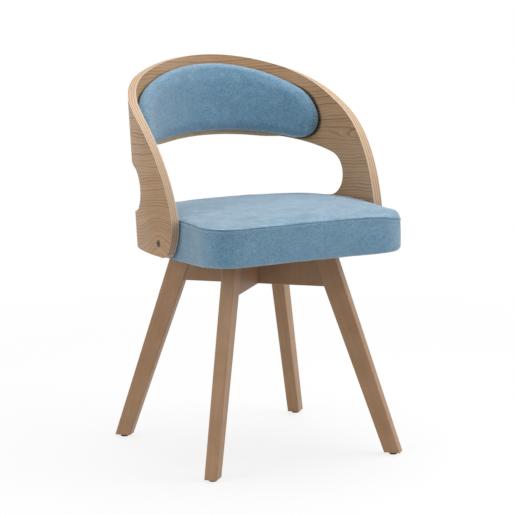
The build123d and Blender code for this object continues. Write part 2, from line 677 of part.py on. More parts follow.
def staples():
    """Staples through the dust cover and hem into the board, spread round the seat."""
    inset = DUST_COVER_INSET + STAPLE_EDGE_MARGIN
    line = seat_wire(inset, SEAT_BOTTOM_Z - DUST_COVER_THICKNESS - STAPLE_WIRE)
    crown = Box(STAPLE_CROWN, STAPLE_WIRE, STAPLE_WIRE, align=(Align.CENTER, Align.CENTER, Align.MIN))
    leg = Box(STAPLE_WIRE, STAPLE_WIRE, STAPLE_LEG, align=(Align.CENTER, Align.CENTER, Align.MIN))
    leg_place = (STAPLE_CROWN - STAPLE_WIRE) / 2
    staple = crown + Pos(-leg_place, 0, 0) * leg + Pos(leg_place, 0, 0) * leg
    pieces = []
    for index in range(STAPLE_COUNT):
        share = (index + 0.5) / STAPLE_COUNT
        heading = line.tangent_at(share)
        place = Plane(origin=line.position_at(share), x_dir=heading, z_dir=(0, 0, 1))
        pieces.append(place * staple)
    return pieces


def pressed_plate():
    """Lower swivel plate: square flange, raised dish, ball groove and fixing holes."""
    middle = SWIVEL_HEIGHT / 2
    rise = middle - RACE_GAP / 2 - PLATE_THICKNESS
    hole = RIVET_RADIUS + RUNNING_FIT
    lip = 2 * PLATE_THICKNESS
    slope = math.atan2(rise, DISH_OUTER_RADIUS - DISH_INNER_RADIUS)
    draft = PLATE_THICKNESS * math.tan(slope / 2)
    dish = revolve(Plane.XZ * make_face(Polyline(
        (hole, rise), (DISH_INNER_RADIUS, rise), (DISH_OUTER_RADIUS, 0), (DISH_OUTER_RADIUS + lip, 0),
        (DISH_OUTER_RADIUS + lip, PLATE_THICKNESS), (DISH_OUTER_RADIUS + draft, PLATE_THICKNESS),
        (DISH_INNER_RADIUS + draft, rise + PLATE_THICKNESS), (hole, rise + PLATE_THICKNESS),
        close=True,
    )), Axis.Z)
    square = RectangleRounded(PLATE_SIZE, PLATE_SIZE, PLATE_CORNER) - Circle(DISH_OUTER_RADIUS + lip / 2)
    plate = extrude(square, PLATE_THICKNESS) + dish
    plate -= Pos(0, 0, middle) * Torus(RACE_RADIUS, BALL_RADIUS + BALL_CLEARANCE)
    return plate - all_of(at_plate_corners(cylinder_up(PLATE_HOLE_RADIUS, PLATE_THICKNESS), 0.0))


def swivel_base_plate():
    return Pos(0, 0, BASE_TOP_Z) * pressed_plate()


def swivel_seat_plate():
    """The same pressing turned over under the seat board."""
    return Pos(0, 0, BOARD_BOTTOM_Z) * Rot(180, 0, 0) * pressed_plate()


def ball_places():
    return PolarLocations(RACE_RADIUS, BALL_COUNT)


def bearing_balls():
    middle = Pos(0, 0, BASE_TOP_Z + SWIVEL_HEIGHT / 2)
    return all_of([middle * place * Sphere(BALL_RADIUS) for place in ball_places()])


def ball_cage():
    """Flat ring that spaces the balls."""
    ring = Circle(RACE_RADIUS + CAGE_WIDTH / 2) - Circle(RACE_RADIUS - CAGE_WIDTH / 2)
    for place in ball_places():
        ring -= place * Circle(BALL_RADIUS + CAGE_CLEARANCE)
    middle = BASE_TOP_Z + SWIVEL_HEIGHT / 2
    return Pos(0, 0, middle - CAGE_THICKNESS / 2) * extrude(ring, CAGE_THICKNESS)


def swivel_rivet():
    """Hollow rivet, fast in the lower plate, that the upper plate turns on."""
    rise = SWIVEL_HEIGHT / 2 - RACE_GAP / 2 - PLATE_THICKNESS
    top = SWIVEL_HEIGHT - rise + RIVET_PLAY
    low = Pos(0, 0, rise - RIVET_FLANGE_THICKNESS)
    barrel = low * cylinder_up(RIVET_RADIUS, top - rise + 2 * RIVET_FLANGE_THICKNESS)
    bore = low * cylinder_up(RIVET_BORE, top - rise + 2 * RIVET_FLANGE_THICKNESS)
    flange = cylinder_up(RIVET_FLANGE_RADIUS, RIVET_FLANGE_THICKNESS)
    return Pos(0, 0, BASE_TOP_Z) * (barrel + low * flange + Pos(0, 0, top) * flange - bore)


def between(top_size, foot_size, height):
    """A leg's size at a height, along the straight line from the foot past the beam's lower edge."""
    share = (height - GLIDE_HEIGHT) / (BEAM_BOTTOM_Z - GLIDE_HEIGHT)
    return foot_size + (top_size - foot_size) * share


def leg_inner(height):
    return between(LEG_TOP_INNER, LEG_FOOT_INNER, height)


def leg_section(height):
    depth = between(LEG_TOP_DEPTH, LEG_FOOT_DEPTH, height)
    width = between(LEG_TOP_WIDTH, LEG_FOOT_WIDTH, height)
    return Pos(leg_inner(height) + depth / 2, 0, height) * Rectangle(depth, width)


def foot_centre():
    return LEG_FOOT_INNER + LEG_FOOT_DEPTH / 2


def leg():
    """Splayed and tapered leg, drawn along +X."""
    body = loft([leg_section(GLIDE_HEIGHT), leg_section(BASE_TOP_Z)], ruled=True)
    long_edges = body.edges().filter_by(Plane.XY, reverse=True)
    body = fillet(long_edges, LEG_EASED_EDGE)
    body -= all_of(dowels(WOOD_FIT))
    return body - glide_nail(WOOD_FIT)


def dowel_heights():
    return [BEAM_BOTTOM_Z + DOWEL_MARGIN, BASE_TOP_Z - DOWEL_MARGIN]


def dowels(clearance):
    """The two dowels of a leg that runs along +X, half in the beam and half in the leg."""
    length = DOWEL_LENGTH + 2 * clearance
    return [
        Pos(leg_inner(height), 0, height) * Rot(0, 90, 0) * Cylinder(DOWEL_RADIUS + clearance, length)
        for height in dowel_heights()
    ]


def beam(slot_from_top):
    """Cross beam along X, slotted to half its height where it crosses the other."""
    low, high = leg_inner(BEAM_BOTTOM_Z), leg_inner(BASE_TOP_Z)
    side = make_face(Polyline(
        (-low, BEAM_BOTTOM_Z), (low, BEAM_BOTTOM_Z), (high, BASE_TOP_Z), (-high, BASE_TOP_Z),
        close=True,
    ))
    body = extrude(Plane.XZ * side, BEAM_WIDTH / 2, both=True)
    lower_edges = body.edges().filter_by(Axis.X).sort_by(Axis.Z)[:2]
    body = fillet(lower_edges, BEAM_EASED_EDGE)
    middle = (BEAM_BOTTOM_Z + BASE_TOP_Z) / 2
    slot_width = BEAM_WIDTH + 2 * LAP_CLEARANCE
    depth = BASE_TOP_Z - middle
    slot_middle = middle + depth / 2 if slot_from_top else middle - depth / 2
    body -= Pos(0, 0, slot_middle) * Box(slot_width, 2 * BEAM_WIDTH, depth)
    screw_reach = PLATE_HOLE_SPACING / math.sqrt(2)
    screw = Pos(screw_reach, 0, BASE_TOP_Z + PLATE_THICKNESS) * plate_screw(WOOD_FIT)
    for turn in (0, 180):
        body -= Rot(0, 0, turn) * all_of(dowels(WOOD_FIT))
        body -= Rot(0, 0, turn) * screw
    return body


def glide():
    """Round glide under a leg that runs along +X, recessed for its nail."""
    on_floor = (Align.CENTER, Align.CENTER, Align.MIN)
    body = Cone(GLIDE_TOE_RADIUS, GLIDE_RADIUS, GLIDE_HEIGHT, align=on_floor)
    body = fillet(body.edges().sort_by(Axis.Z)[:1], GLIDE_EDGE_RADIUS)
    recess = cylinder_up(GLIDE_NAIL_HEAD_RADIUS + WOOD_FIT, GLIDE_NAIL_RECESS + GLIDE_NAIL_HEAD)
    return Pos(foot_centre(), 0, 0) * (body - recess) - glide_nail(WOOD_FIT)


def glide_nail(clearance):
    """Nail up through a glide into its leg."""
    head = Pos(0, 0, GLIDE_NAIL_RECESS) * cylinder_up(GLIDE_NAIL_HEAD_RADIUS, GLIDE_NAIL_HEAD)
    shank = cylinder_up(GLIDE_NAIL_RADIUS + clearance, GLIDE_NAIL_LENGTH + clearance)
    shank = Pos(0, 0, GLIDE_NAIL_RECESS) * shank
    return Pos(foot_centre(), 0, 0) * (shank if clearance else head + shank)


def base_pieces():
    """Everything that stands still when the seat turns."""
    pieces = {}
    angles = corner_turns()
    turns = [Rot(0, 0, angle) for angle in angles.values()]
    for name, turn in zip(angles, turns):
        pieces[f"leg_{name}"] = turn * leg()
        pieces[f"glide_{name}"] = turn * glide()
    pieces["glide_nails"] = all_of([turn * glide_nail(0.0) for turn in turns])
    pieces["leg_dowels"] = all_of([turn * dowel for turn in turns for dowel in dowels(0.0)])
    pieces["cross_beam_lower"] = Rot(0, 0, angles["front_right"]) * beam(slot_from_top=True)
    pieces["cross_beam_upper"] = Rot(0, 0, angles["front_left"]) * beam(slot_from_top=False)
    pieces["swivel_base_plate"] = swivel_base_plate()
    screws = at_plate_corners(plate_screw(0.0), BASE_TOP_Z + PLATE_THICKNESS)
    pieces["base_plate_screws"] = all_of(screws)
    pieces["swivel_rivet"] = swivel_rivet()
    return pieces


def bearing_pieces():
    """The rolling middle of the swivel."""
    return {"bearing_balls": bearing_balls(), "ball_cage": ball_cage()}


def seat_pieces():
    """Everything that turns with the seat, apart from the back pad."""
    arcs = bolt_stations()
    clip_holes = [tilted(pad_clip(arc, height, WOOD_FIT)) for arc, height in pad_clip_stations()]
    solid_shell = tilted(upright_shell())
    drilled_shell = solid_shell - all_of([bolt_hole(arc) for arc in arcs]) - all_of(clip_holes)
    pieces = {
        "swivel_seat_plate": swivel_seat_plate(),
        "seat_plate_bolts": all_of(at_plate_corners(seat_bolt(), BOARD_BOTTOM_Z - PLATE_THICKNESS)),
        "t_nuts": all_of(at_plate_corners(t_nut(), BOARD_TOP_Z)),
        "seat_board": seat_board(),
        "block_screws": all_of(all_block_screws(0.0)),
        "threaded_inserts": all_of([threaded_insert(arc) for arc in arcs]),
        "shell_spacers": all_of([spacer(arc, solid_shell) for arc in arcs]),
        "shell_bolts": all_of([shell_bolt(arc) for arc in arcs]),
        "seat_foam": seat_foam(),
        "seat_cover": seat_cover(),
        "seat_dust_cover": dust_cover(),
        "cover_staples": all_of(staples()),
        "back_shell": drilled_shell,
    }
    for name, arc in zip(("left", "rear_left", "rear_right", "right"), arcs):
        pieces[f"block_{name}"] = block(arc)
    return pieces


def back_pad_pieces():
    """The upholstered pad on the inside of the shell."""
    outer = upright_pad(0.0, PAD_THICKNESS, PAD_EDGE_RADIUS)
    inner = upright_pad(PAD_FABRIC, PAD_THICKNESS - PAD_FABRIC, PAD_EDGE_RADIUS - PAD_FABRIC)
    board = inner & pad_board_layer()
    clip_holes = all_of([pad_clip(arc, height, WOOD_FIT) for arc, height in pad_clip_stations()])
    clips = all_of([pad_clip(arc, height, 0.0) for arc, height in pad_clip_stations()])
    pieces = {
        "pad_board": board - clip_holes,
        "pad_foam": inner - board,
        "pad_cover": outer - inner,
        "pad_clips": clips,
    }
    return {name: tilted(piece) for name, piece in pieces.items()}


def middle_shift():
    """Shift that puts the origin under the middle of the chair, front to back."""
    turn = math.radians(SHELL_TILT)
    outer_y = BACK_INNER_Y + PLY_THICKNESS
    rear = math.cos(turn) * outer_y + math.sin(turn) * (SHELL_TOP_Z - TILT_PIVOT_Z)
    return Pos(0, (SEAT_FRONT - rear) / 2, 0)


os.makedirs("parts", exist_ok=True)
all_pieces = base_pieces() | bearing_pieces() | seat_pieces() | back_pad_pieces()
for node, piece in all_pieces.items():
    export_step(middle_shift() * piece, f"parts/{node}.step")
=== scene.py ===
"""A swivel dining chair: bent plywood shell, upholstered seat and back pad, splayed beech legs.

Metres and radians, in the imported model's frame: the chair stands on z = 0 and faces -Y.
Flat drawings of the bent sheet use (along, out, up): arc length from the middle of the back,
distance outside the sheet's inner face, and height in the shell's own upright frame."""

import json
import math

import bmesh
import bpy
from mathutils import Matrix, Vector, kdtree, noise
from mathutils.bvhtree import BVHTree


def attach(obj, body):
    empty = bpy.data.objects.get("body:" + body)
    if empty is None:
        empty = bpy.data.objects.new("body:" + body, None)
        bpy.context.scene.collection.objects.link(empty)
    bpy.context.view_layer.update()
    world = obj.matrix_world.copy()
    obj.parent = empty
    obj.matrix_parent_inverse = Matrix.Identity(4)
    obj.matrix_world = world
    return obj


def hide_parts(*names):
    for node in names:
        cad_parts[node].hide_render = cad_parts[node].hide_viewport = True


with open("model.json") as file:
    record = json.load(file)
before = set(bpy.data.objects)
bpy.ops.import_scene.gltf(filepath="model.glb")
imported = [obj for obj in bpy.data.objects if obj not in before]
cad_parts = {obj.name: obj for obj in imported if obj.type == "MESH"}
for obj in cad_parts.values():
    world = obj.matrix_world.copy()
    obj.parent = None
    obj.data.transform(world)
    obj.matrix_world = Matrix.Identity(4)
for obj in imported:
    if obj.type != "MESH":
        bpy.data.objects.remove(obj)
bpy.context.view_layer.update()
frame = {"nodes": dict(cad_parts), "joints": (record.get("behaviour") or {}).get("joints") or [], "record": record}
SWIVEL = Vector(next(j for j in frame["joints"] if j["name"] == "seat_swivel")["pos_m"])

# Camera, as the photograph has it.
CAMERA_AZIMUTH = math.radians(-27.9005)
CAMERA_ELEVATION = math.radians(9.932)
CAMERA_ROLL = math.radians(-0.612)
CAMERA_DISTANCE = 4.6226
CAMERA_AIM_SIDE = 0.0061
CAMERA_AIM_HEIGHT = 0.3878
CAMERA_LENS = 160.46

# Studio.
ROOM_LIGHT = 0.31
FLOOR_REACH = 4.0
FLOOR_GLOW = 0.8
LIGHT_AIM = (0, 0, 0.45)
LIGHTS = (
    ("top light", (0.3, 0.2, 2.9), 2.2, 52),
    ("key light", (1.59, -1.21, 1.37), 1.5, 22),
    ("fill light", (-2.9, -0.4, 1.6), 2.0, 29),
)

# Bent plywood shell: plan of its inner face, as the frame has it.
BACK_INNER_Y = 0.181
BACK_RADIUS = 0.280
BACK_ANGLE = math.radians(32.4)
CORNER_RADIUS = 0.147
CORNER_ANGLE = math.radians(45.4)
WING_RADIUS = 0.415
PLY_THICKNESS = 0.0168
PLY_COUNT = 7
SHELL_TILT = math.radians(6.3)
TILT_PIVOT_Z = 0.410

# Shell edges, seen from the side in its own upright frame.
SHELL_TOP_Z = 0.803
SHELL_BOTTOM_Z = 0.420
SHOULDER_RADIUS = 0.288
WING_FRONT_Y = -0.112
WING_FRONT_Z = 0.4768
TOE_RADIUS = 0.090
TOE_TOP_SLOPE = math.radians(81.4)
TOE_END_SLOPE = math.radians(130)
TOE_CORNER_RADIUS = 0.024
ARRIS = 0.0009

# Window, seen the same way.
WINDOW_FRONT_Y = 0.0115
WINDOW_NOSE_RADIUS = 0.0457
WINDOW_TOP_Z = 0.641
WINDOW_BOTTOM_Z = 0.498

# Back pad: the upper and the lower circle of its end, the slopes of its edges, and its rim.
PAD_UPPER_CENTRE = (0.1605, 0.6488)
PAD_UPPER_RADIUS = 0.095
PAD_LOWER_RADIUS = 0.038
PAD_NOSE_TURN = math.radians(81.3)
PAD_TOP_SLOPE = math.radians(41.6)
PAD_BOTTOM_SLOPE = math.radians(23.5)
PAD_THICKNESS = 0.020
PAD_STANDOFF = 0.002
PAD_MIDDLE_OUT = -0.010
PAD_BACK_LEVELS = ((0.0022, 0.0), (0.0006, -0.0012), (0.0, -0.004), (0.0, -0.008))
PAD_RIM_WIDTH = 0.0095
PAD_RIM_DEPTH = 0.0105
PAD_RIM_TURNS = (10, 25, 40, 55, 70, 90)
PAD_REACH = 0.30
PAD_LOWEST = 0.61
PAD_HIGHEST = 0.80
# The pad's share of the top panel's nap mottle and painted highlight.
PAD_NAP_AND_HIGHLIGHT = 0.42
PAD_UNEVENNESS = 0.0006

# Shell bolts: place along the sheet, and height above the floor.
BOLT_ALONGS = (-0.380, -0.070, 0.070, 0.380)
BOLT_Z = 0.446
BOLT_RECESS_RADIUS = 0.00755
BOLT_HOLE_SIDES = 32

# Seat cushion: its plan, its crowned top, and the way its cover is sewn.
SEAT_FRONT = 0.251
SEAT_CORNER_OVERHANG = -0.0083
SEAT_CORNER_RADIUS = 0.058
SEAT_FRONT_DRAW = 0.003
SEAT_WAIST_RADIUS = 0.400
SEAT_SHELL_GAP = 0.0055
SEAT_BOTTOM_Z = 0.418
SEAT_SIDE_SAG = 0.0045
SEAT_CROWN_Z = 0.5005
SEAT_CROWN_SIDE_RADIUS = 6.0
SEAT_CROWN_DEPTH_RADIUS = 2.5
SEAT_CROWN_Y = -0.090
SEAT_TOP_LIFT = 0.0012
SEAT_TOP_FROM = 0.47
SEAT_UNDER_INSETS = (0.034, 0.020)
SEAT_REACH = 0.256
FRONT_STARTS = 0.120
FRONT_ENDS = 0.235
SEAM_Z = 0.4915
SEAM_CORNER_DROP = 0.0115
DROOP_X = 0.205
DROOP_Y = -0.225
DROOP_REACH = 0.050
SEAM_REAR_DROP = 0.0075
SEAM_WAVER = 0.0008
SEAM_DEPTH = 0.0018
SEAM_HALF_WIDTH = 0.0007
TOPSTITCH_DROP = 0.0048
TOPSTITCH_FOLD = ((-0.0012, 0.0), (0.0, 0.0007), (0.0010, -0.0004))
SEAM_LIP = ((-0.0028, -0.0012), (-0.0018, -0.0008), (-SEAM_HALF_WIDTH, 0.0008), (0.0, SEAM_DEPTH))
ROLL_WIDTH = 0.010
ROLL_CORNER_WIDTH = 0.008
HEM_ROUND = 0.0035
HEM_FRONT_ROUND = 0.0065
STITCH_PITCH = 0.0068
STITCH_LENGTH = 0.0046
STITCH_THICKNESS = 0.0013
STITCH_LIFT = 0.0001

# Back pad's edging: a black strip behind its rim, with teeth that grip the cover.
EDGING_PITCH = 0.0046
EDGING_WIDTH = 0.0010
EDGING_HIDDEN = 0.0015
EDGING_TOOTH = 0.0042
EDGING_TOOTH_WIDTH = 0.0019
EDGING_THICKNESS = 0.0009
EDGING_INNER_INSET = 0.005
EDGING_LIFT = 0.0002
EDGING_SHOWS_FROM = 0.72
EDGING_SHOWS_FULLY = 0.97

# Cloth under the seat, which is flat within a margin of its edge and of its opening.
DUST_COVER_INSET = 0.016
DUST_COVER_OPENING = 0.174
DUST_COVER_THICKNESS = 0.0007
DUST_COVER_SAG = 0.0035
DUST_COVER_REACH = 0.26
DUST_COVER_FLAT_FROM = 0.205
DUST_COVER_EDGE_MARGIN = 0.05
DUST_COVER_OPENING_MARGIN = 0.04

# Stuffing: how hard it presses, and how far it may push the cover.
STUFFING_PRESSURE = 4.0
STUFFING_FRAMES = 20
TOP_SWELL = 0.005
FRONT_SWELL = 0.0025
SIDE_SWELL = 0.0006
PAD_SWELL = 0.003

# How finely the sheet and the cushions are divided.
BEND_STEP = 0.005
SEAT_STEP = 0.008
SEAT_STEP_LEAST = 0.0015
PAD_STEP = 0.006
PAD_STEP_LEAST = 0.0012
UNDER_CLOTH_STEP = 0.010
CUSHION_VOXEL = 0.005
PAD_VOXEL = 0.004

# Finishes: widths of growth rings, the veneer's cathedral figures as (centre, size, height) on the
# sheet, layers of the inner plywood, the pitch of the cloth's threads, and the way the legs' grain lies.
VENEER_RING = 0.0060
VENEER_FIGURES = (
    ((-0.380, 0.452), (0.050, 0.042), -0.030),
    ((0.375, 0.618), (0.080, 0.011), 0.022),
    ((0.060, 0.470), (0.120, 0.014), 0.012),
)
SOLID_WOOD_RING = 0.009
RAW_PLY_LAYER = 0.0028
CLOTH_PITCH = 0.0011
LEG_TURNS = {"leg_rear_right": 45, "leg_rear_left": 135, "leg_front_left": 225, "leg_front_right": 315}
LEG_GRAIN_LEAN = 0.313


# ---- plan and profiles

def polar(centre, radius, angle):
    """Point at a radius and an angle that turns from +Y towards +X."""
    return (centre[0] + radius * math.sin(angle), centre[1] + radius * math.cos(angle))


BACK_CENTRE = (0.0, BACK_INNER_Y - BACK_RADIUS)
CORNER_CENTRE = polar(BACK_CENTRE, BACK_RADIUS - CORNER_RADIUS, BACK_ANGLE)
WING_CENTRE = polar(CORNER_CENTRE, CORNER_RADIUS - WING_RADIUS, BACK_ANGLE + CORNER_ANGLE)
BACK_LENGTH = BACK_RADIUS * BACK_ANGLE
CORNER_LENGTH = CORNER_RADIUS * CORNER_ANGLE
PLAN = (
    (BACK_CENTRE, BACK_RADIUS, 0.0, 0.0),
    (CORNER_CENTRE, CORNER_RADIUS, BACK_ANGLE, BACK_LENGTH),
    (WING_CENTRE, WING_RADIUS, BACK_ANGLE + CORNER_ANGLE, BACK_LENGTH + CORNER_LENGTH),
)


def station(along, out):
    """Plan point of the upright sheet at an arc length and offset."""
    length = abs(along)
    centre, radius, start_angle, start_length = [arc for arc in PLAN if arc[3] <= length][-1]
    x, y = polar(centre, radius + out, start_angle + (length - start_length) / radius)
    return math.copysign(1.0, along) * x, y


def along_at(y, out=0.0):
    """Arc length at which the sheet, at an offset, passes a depth y."""
    for (centre, radius, start_angle, start_length), following in zip(PLAN, PLAN[1:] + (None,)):
        angle = math.acos(max(-1.0, min(1.0, (y - centre[1]) / (radius + out))))
        if following is None or angle <= following[2]:
            return start_length + (angle - start_angle) * radius


def flat_place(x, y):
    """(along, out) of a plan point of the upright shell."""
    for centre, radius, start_angle, start_length in reversed(PLAN):
        angle = math.atan2(abs(x) - centre[0], y - centre[1])
        if angle >= start_angle or start_length == 0.0:
            out = math.hypot(abs(x) - centre[0], y - centre[1]) - radius
            return math.copysign(start_length + (angle - start_angle) * radius, x), out


def lean(x, y, z):
    """Where a point of the upright shell lies once the shell leans back over the swivel."""
    sine, cosine = math.sin(SHELL_TILT), math.cos(SHELL_TILT)
    rise = z - TILT_PIVOT_Z
    return Vector((x, cosine * y + sine * rise + SWIVEL.y, TILT_PIVOT_Z - sine * y + cosine * rise))


def upright(point):
    """The way back from lean."""
    sine, cosine = math.sin(SHELL_TILT), math.cos(SHELL_TILT)
    y, rise = point[1] - SWIVEL.y, point[2] - TILT_PIVOT_Z
    return point[0], cosine * y - sine * rise, TILT_PIVOT_Z + sine * y + cosine * rise


def bend(flat):
    """Place in the chair of a point drawn flat as (along, out, up)."""
    return lean(*station(flat[0], flat[1]), flat[2])


def unbend(point):
    """The flat (along, out, up) of a point of the chair."""
    x, y, z = upright(point)
    return *flat_place(x, y), z


def level_height(y, z):
    """Upright height at depth y of a point that lies at height z on the chair."""
    return TILT_PIVOT_Z + (z - TILT_PIVOT_Z + y * math.sin(SHELL_TILT)) / math.cos(SHELL_TILT)


def arc_points(centre, radius, start, end, count=0):
    """Points along an arc, in a number of steps, or about 3 mm apart."""
    count = count or max(2, math.ceil(abs((end - start) * radius) / 0.003))
    return [polar(centre, radius, start + (end - start) * k / count) for k in range(count + 1)]


def edge_slope(rear, centre, radius):
    """Slope of the straight edge from a rear point into the top of a circle, or its underside."""
    run, rise = rear[0] - centre[0], rear[1] - centre[1]
    return math.atan2(rise, run) - math.asin(radius / math.hypot(run, rise))


def sheet_points(profile, out):
    """(along, up) of profile points drawn as (y, z)."""
    return [(along_at(y, out), z) for y, z in profile]


def sheet_run(end_y, out, height, count=0):
    """(along, up) from the middle of the back to a depth, where up is a function of depth."""
    reach = along_at(end_y, out)
    count = count or math.ceil(reach / BEND_STEP)
    alongs = [reach * k / count for k in range(count)]
    return [(along, height(station(along, out)[1])) for along in alongs]


def mirrored_loop(half):
    """Closed outline from its right half, which starts and ends in the middle of the back."""
    return half + [(-along, up) for along, up in half[-2:0:-1]]


def rounded_corner(before, corner, after, radius):
    """Points of a round corner between two straight edges."""
    corner = Vector(corner)
    first = (Vector(before) - corner).normalized()
    second = (Vector(after) - corner).normalized()
    half_angle = first.angle(second) / 2
    reach = radius / math.tan(half_angle)
    middle = corner + (first + second).normalized() * radius / math.sin(half_angle)
    start, end = corner + first * reach - middle, corner + second * reach - middle
    return [tuple(middle + start.lerp(end, k / 6).normalized() * radius) for k in range(7)]


def shell_outline():
    """Closed outline of the shell, flat."""
    toe_centre = (WING_FRONT_Y + TOE_RADIUS, WING_FRONT_Z)
    shoulder_centre = polar(toe_centre, TOE_RADIUS - SHOULDER_RADIUS, -TOE_TOP_SLOPE)
    slope = edge_slope((BACK_INNER_Y, SHELL_TOP_Z), shoulder_centre, SHOULDER_RADIUS)
    shoulder = arc_points(shoulder_centre, SHOULDER_RADIUS, -slope, -TOE_TOP_SLOPE)
    toe = arc_points(toe_centre, TOE_RADIUS, -TOE_TOP_SLOPE, -TOE_END_SLOPE)
    top = sheet_run(shoulder[0][0], 0.0, lambda y: SHELL_TOP_Z - (BACK_INNER_Y - y) * math.tan(slope))
    drop = toe[-1][1] - level_height(toe[-1][0], SHELL_BOTTOM_Z)
    heading = math.pi * 1.5 - TOE_END_SLOPE
    corner = polar(toe[-1], drop / -math.cos(heading), heading)
    behind = (corner[0] + TOE_RADIUS, level_height(corner[0] + TOE_RADIUS, SHELL_BOTTOM_Z))
    heel = rounded_corner(toe[-1], corner, behind, TOE_CORNER_RADIUS)
    bottom = sheet_run(heel[-1][0], 0.0, lambda y: level_height(y, SHELL_BOTTOM_Z))
    half = top + sheet_points(shoulder + toe[1:] + heel, 0.0) + bottom[::-1]
    return mirrored_loop(half)


def long_outline(nose, top_slope, bottom_slope, out):
    """Closed flat outline with straight long edges, from the nose at its right end."""
    (top_y, top_z), (bottom_y, bottom_z) = nose[0], nose[-1]
    upper = sheet_run(top_y, out, lambda y: top_z + (y - top_y) * math.tan(top_slope), 50)
    lower = sheet_run(bottom_y, out, lambda y: bottom_z + (y - bottom_y) * math.tan(bottom_slope), 50)
    return mirrored_loop(upper + sheet_points(nose, out) + lower[::-1])


def window_outline():
    centre = (WINDOW_FRONT_Y + WINDOW_NOSE_RADIUS, WINDOW_BOTTOM_Z + WINDOW_NOSE_RADIUS)
    top = edge_slope((BACK_INNER_Y, WINDOW_TOP_Z), centre, WINDOW_NOSE_RADIUS)
    bottom = edge_slope((BACK_INNER_Y, WINDOW_BOTTOM_Z), centre, -WINDOW_NOSE_RADIUS)
    nose = arc_points(centre, WINDOW_NOSE_RADIUS, -top, -math.pi - bottom, 48)
    return long_outline(nose, top, bottom, 0.0)


def pad_outline(inset):
    """Outline of the back pad, flat, drawn in by an inset. Its ends are blunt above and round below."""
    lower_centre = polar(PAD_UPPER_CENTRE, PAD_UPPER_RADIUS - PAD_LOWER_RADIUS, -PAD_NOSE_TURN)
    low_end = -math.pi - PAD_BOTTOM_SLOPE
    blunt = arc_points(PAD_UPPER_CENTRE, PAD_UPPER_RADIUS - inset, -PAD_TOP_SLOPE, -PAD_NOSE_TURN, 24)
    rounded = arc_points(lower_centre, PAD_LOWER_RADIUS - inset, -PAD_NOSE_TURN, low_end, 30)
    return long_outline(blunt + rounded[1:], PAD_TOP_SLOPE, PAD_BOTTOM_SLOPE, PAD_MIDDLE_OUT)


def circles_meet(first, first_radius, second, second_radius):
    """Where two circles cross, to the left of the way from first to second."""
    span = math.dist(first, second)
    along = (span ** 2 + first_radius ** 2 - second_radius ** 2) / (2 * span)
    aside = math.sqrt(first_radius ** 2 - along ** 2)
    way = ((second[0] - first[0]) / span, (second[1] - first[1]) / span)
    return (first[0] + along * way[0] - aside * way[1], first[1] + along * way[1] + aside * way[0])


def bearing(centre, target):
    """Angle from a centre to a target, turning from +Y towards +X."""
    return math.atan2(target[0] - centre[0], target[1] - centre[1]) % (2 * math.pi)


def seat_outline(inset, height):
    """Closed plan of the seat cushion at a height, from the middle of the back to the right."""
    shift = (height - TILT_PIVOT_Z) * math.tan(SHELL_TILT)
    back, side, wing = [(c[0], c[1] + shift) for c in (BACK_CENTRE, CORNER_CENTRE, WING_CENTRE)]
    half_width = WING_CENTRE[0] + WING_RADIUS + SEAT_CORNER_OVERHANG
    radius = SEAT_CORNER_RADIUS
    corner = (half_width - radius, radius - SEAT_FRONT)
    rise = radius - SEAT_FRONT_DRAW
    front_radius = (corner[0] ** 2 + rise ** 2 - radius ** 2) / (2 * SEAT_FRONT_DRAW)
    front = (0.0, corner[1] - rise - front_radius)
    wing_radius = WING_RADIUS - SEAT_SHELL_GAP
    waist = circles_meet(wing, wing_radius + SEAT_WAIST_RADIUS, corner, radius + SEAT_WAIST_RADIUS)
    from_wing, from_corner = bearing(wing, waist), bearing(corner, waist)
    wing_start = BACK_ANGLE + CORNER_ANGLE
    drawn = SEAT_SHELL_GAP + inset
    runs = [
        arc_points(back, BACK_RADIUS - drawn, 0.0, BACK_ANGLE, 26),
        arc_points(side, CORNER_RADIUS - drawn, BACK_ANGLE, wing_start, 18),
        arc_points(wing, wing_radius - inset, wing_start, from_wing, 22),
        arc_points(waist, SEAT_WAIST_RADIUS + inset, from_wing + math.pi, from_corner + math.pi, 8),
        arc_points(corner, radius - inset, from_corner, bearing(corner, front), 20),
        arc_points(front, front_radius + inset, bearing(front, corner), 0.0, 30),
    ]
    half = [point for run in runs for point in run[:-1]] + [runs[-1][-1]]
    return [Vector((x, y + SWIVEL.y)) for x, y in mirrored_loop(half)]


# ---- mesh helpers

def new_piece(name, bm, materials):
    """A piece from a bmesh, with its materials."""
    mesh = bpy.data.meshes.new(name)
    bm.to_mesh(mesh)
    bm.free()
    piece = bpy.data.objects.new(name, mesh)
    bpy.context.scene.collection.objects.link(piece)
    for material in materials:
        mesh.materials.append(material)
    return piece


def dress(piece, body, slot, *replaced):
    """Puts a piece on its body and hides the CAD parts that it replaces. The slot is not used."""
    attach(piece, body)
    if replaced:
        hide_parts(*replaced)


def settle(piece):
    """Makes the piece's mesh what its modifiers give, and clears them."""
    graph = bpy.context.evaluated_depsgraph_get()
    mesh = bpy.data.meshes.new_from_object(piece.evaluated_get(graph))
    piece.modifiers.clear()
    piece.data = mesh


def smooth(piece):
    piece.data.polygons.foreach_set("use_smooth", [True] * len(piece.data.polygons))


def loop_of(bm, points):
    """Closed ring of edges through points."""
    verts = [bm.verts.new(point) for point in points]
    return [bm.edges.new(pair) for pair in zip(verts, verts[1:] + verts[:1])]


def cut_across(bm, axis, low, high, step, faces=None):
    """Divides faces, or the whole mesh, by planes across an axis, a step apart. Returns the faces."""
    normal = Vector([1.0 if k == axis else 0.0 for k in range(3)])
    faces = faces or bm.faces[:]
    for k in range(1, math.ceil((high - low) / step)):
        place = normal * (low + k * step)
        parts = dict.fromkeys(part for face in faces for part in (*face.verts, *face.edges))
        cut = bmesh.ops.bisect_plane(
            bm, geom=list(parts) + faces, dist=1e-6, plane_co=place, plane_no=normal)["geom"]
        faces = [item for item in cut if isinstance(item, bmesh.types.BMFace)]
    return faces


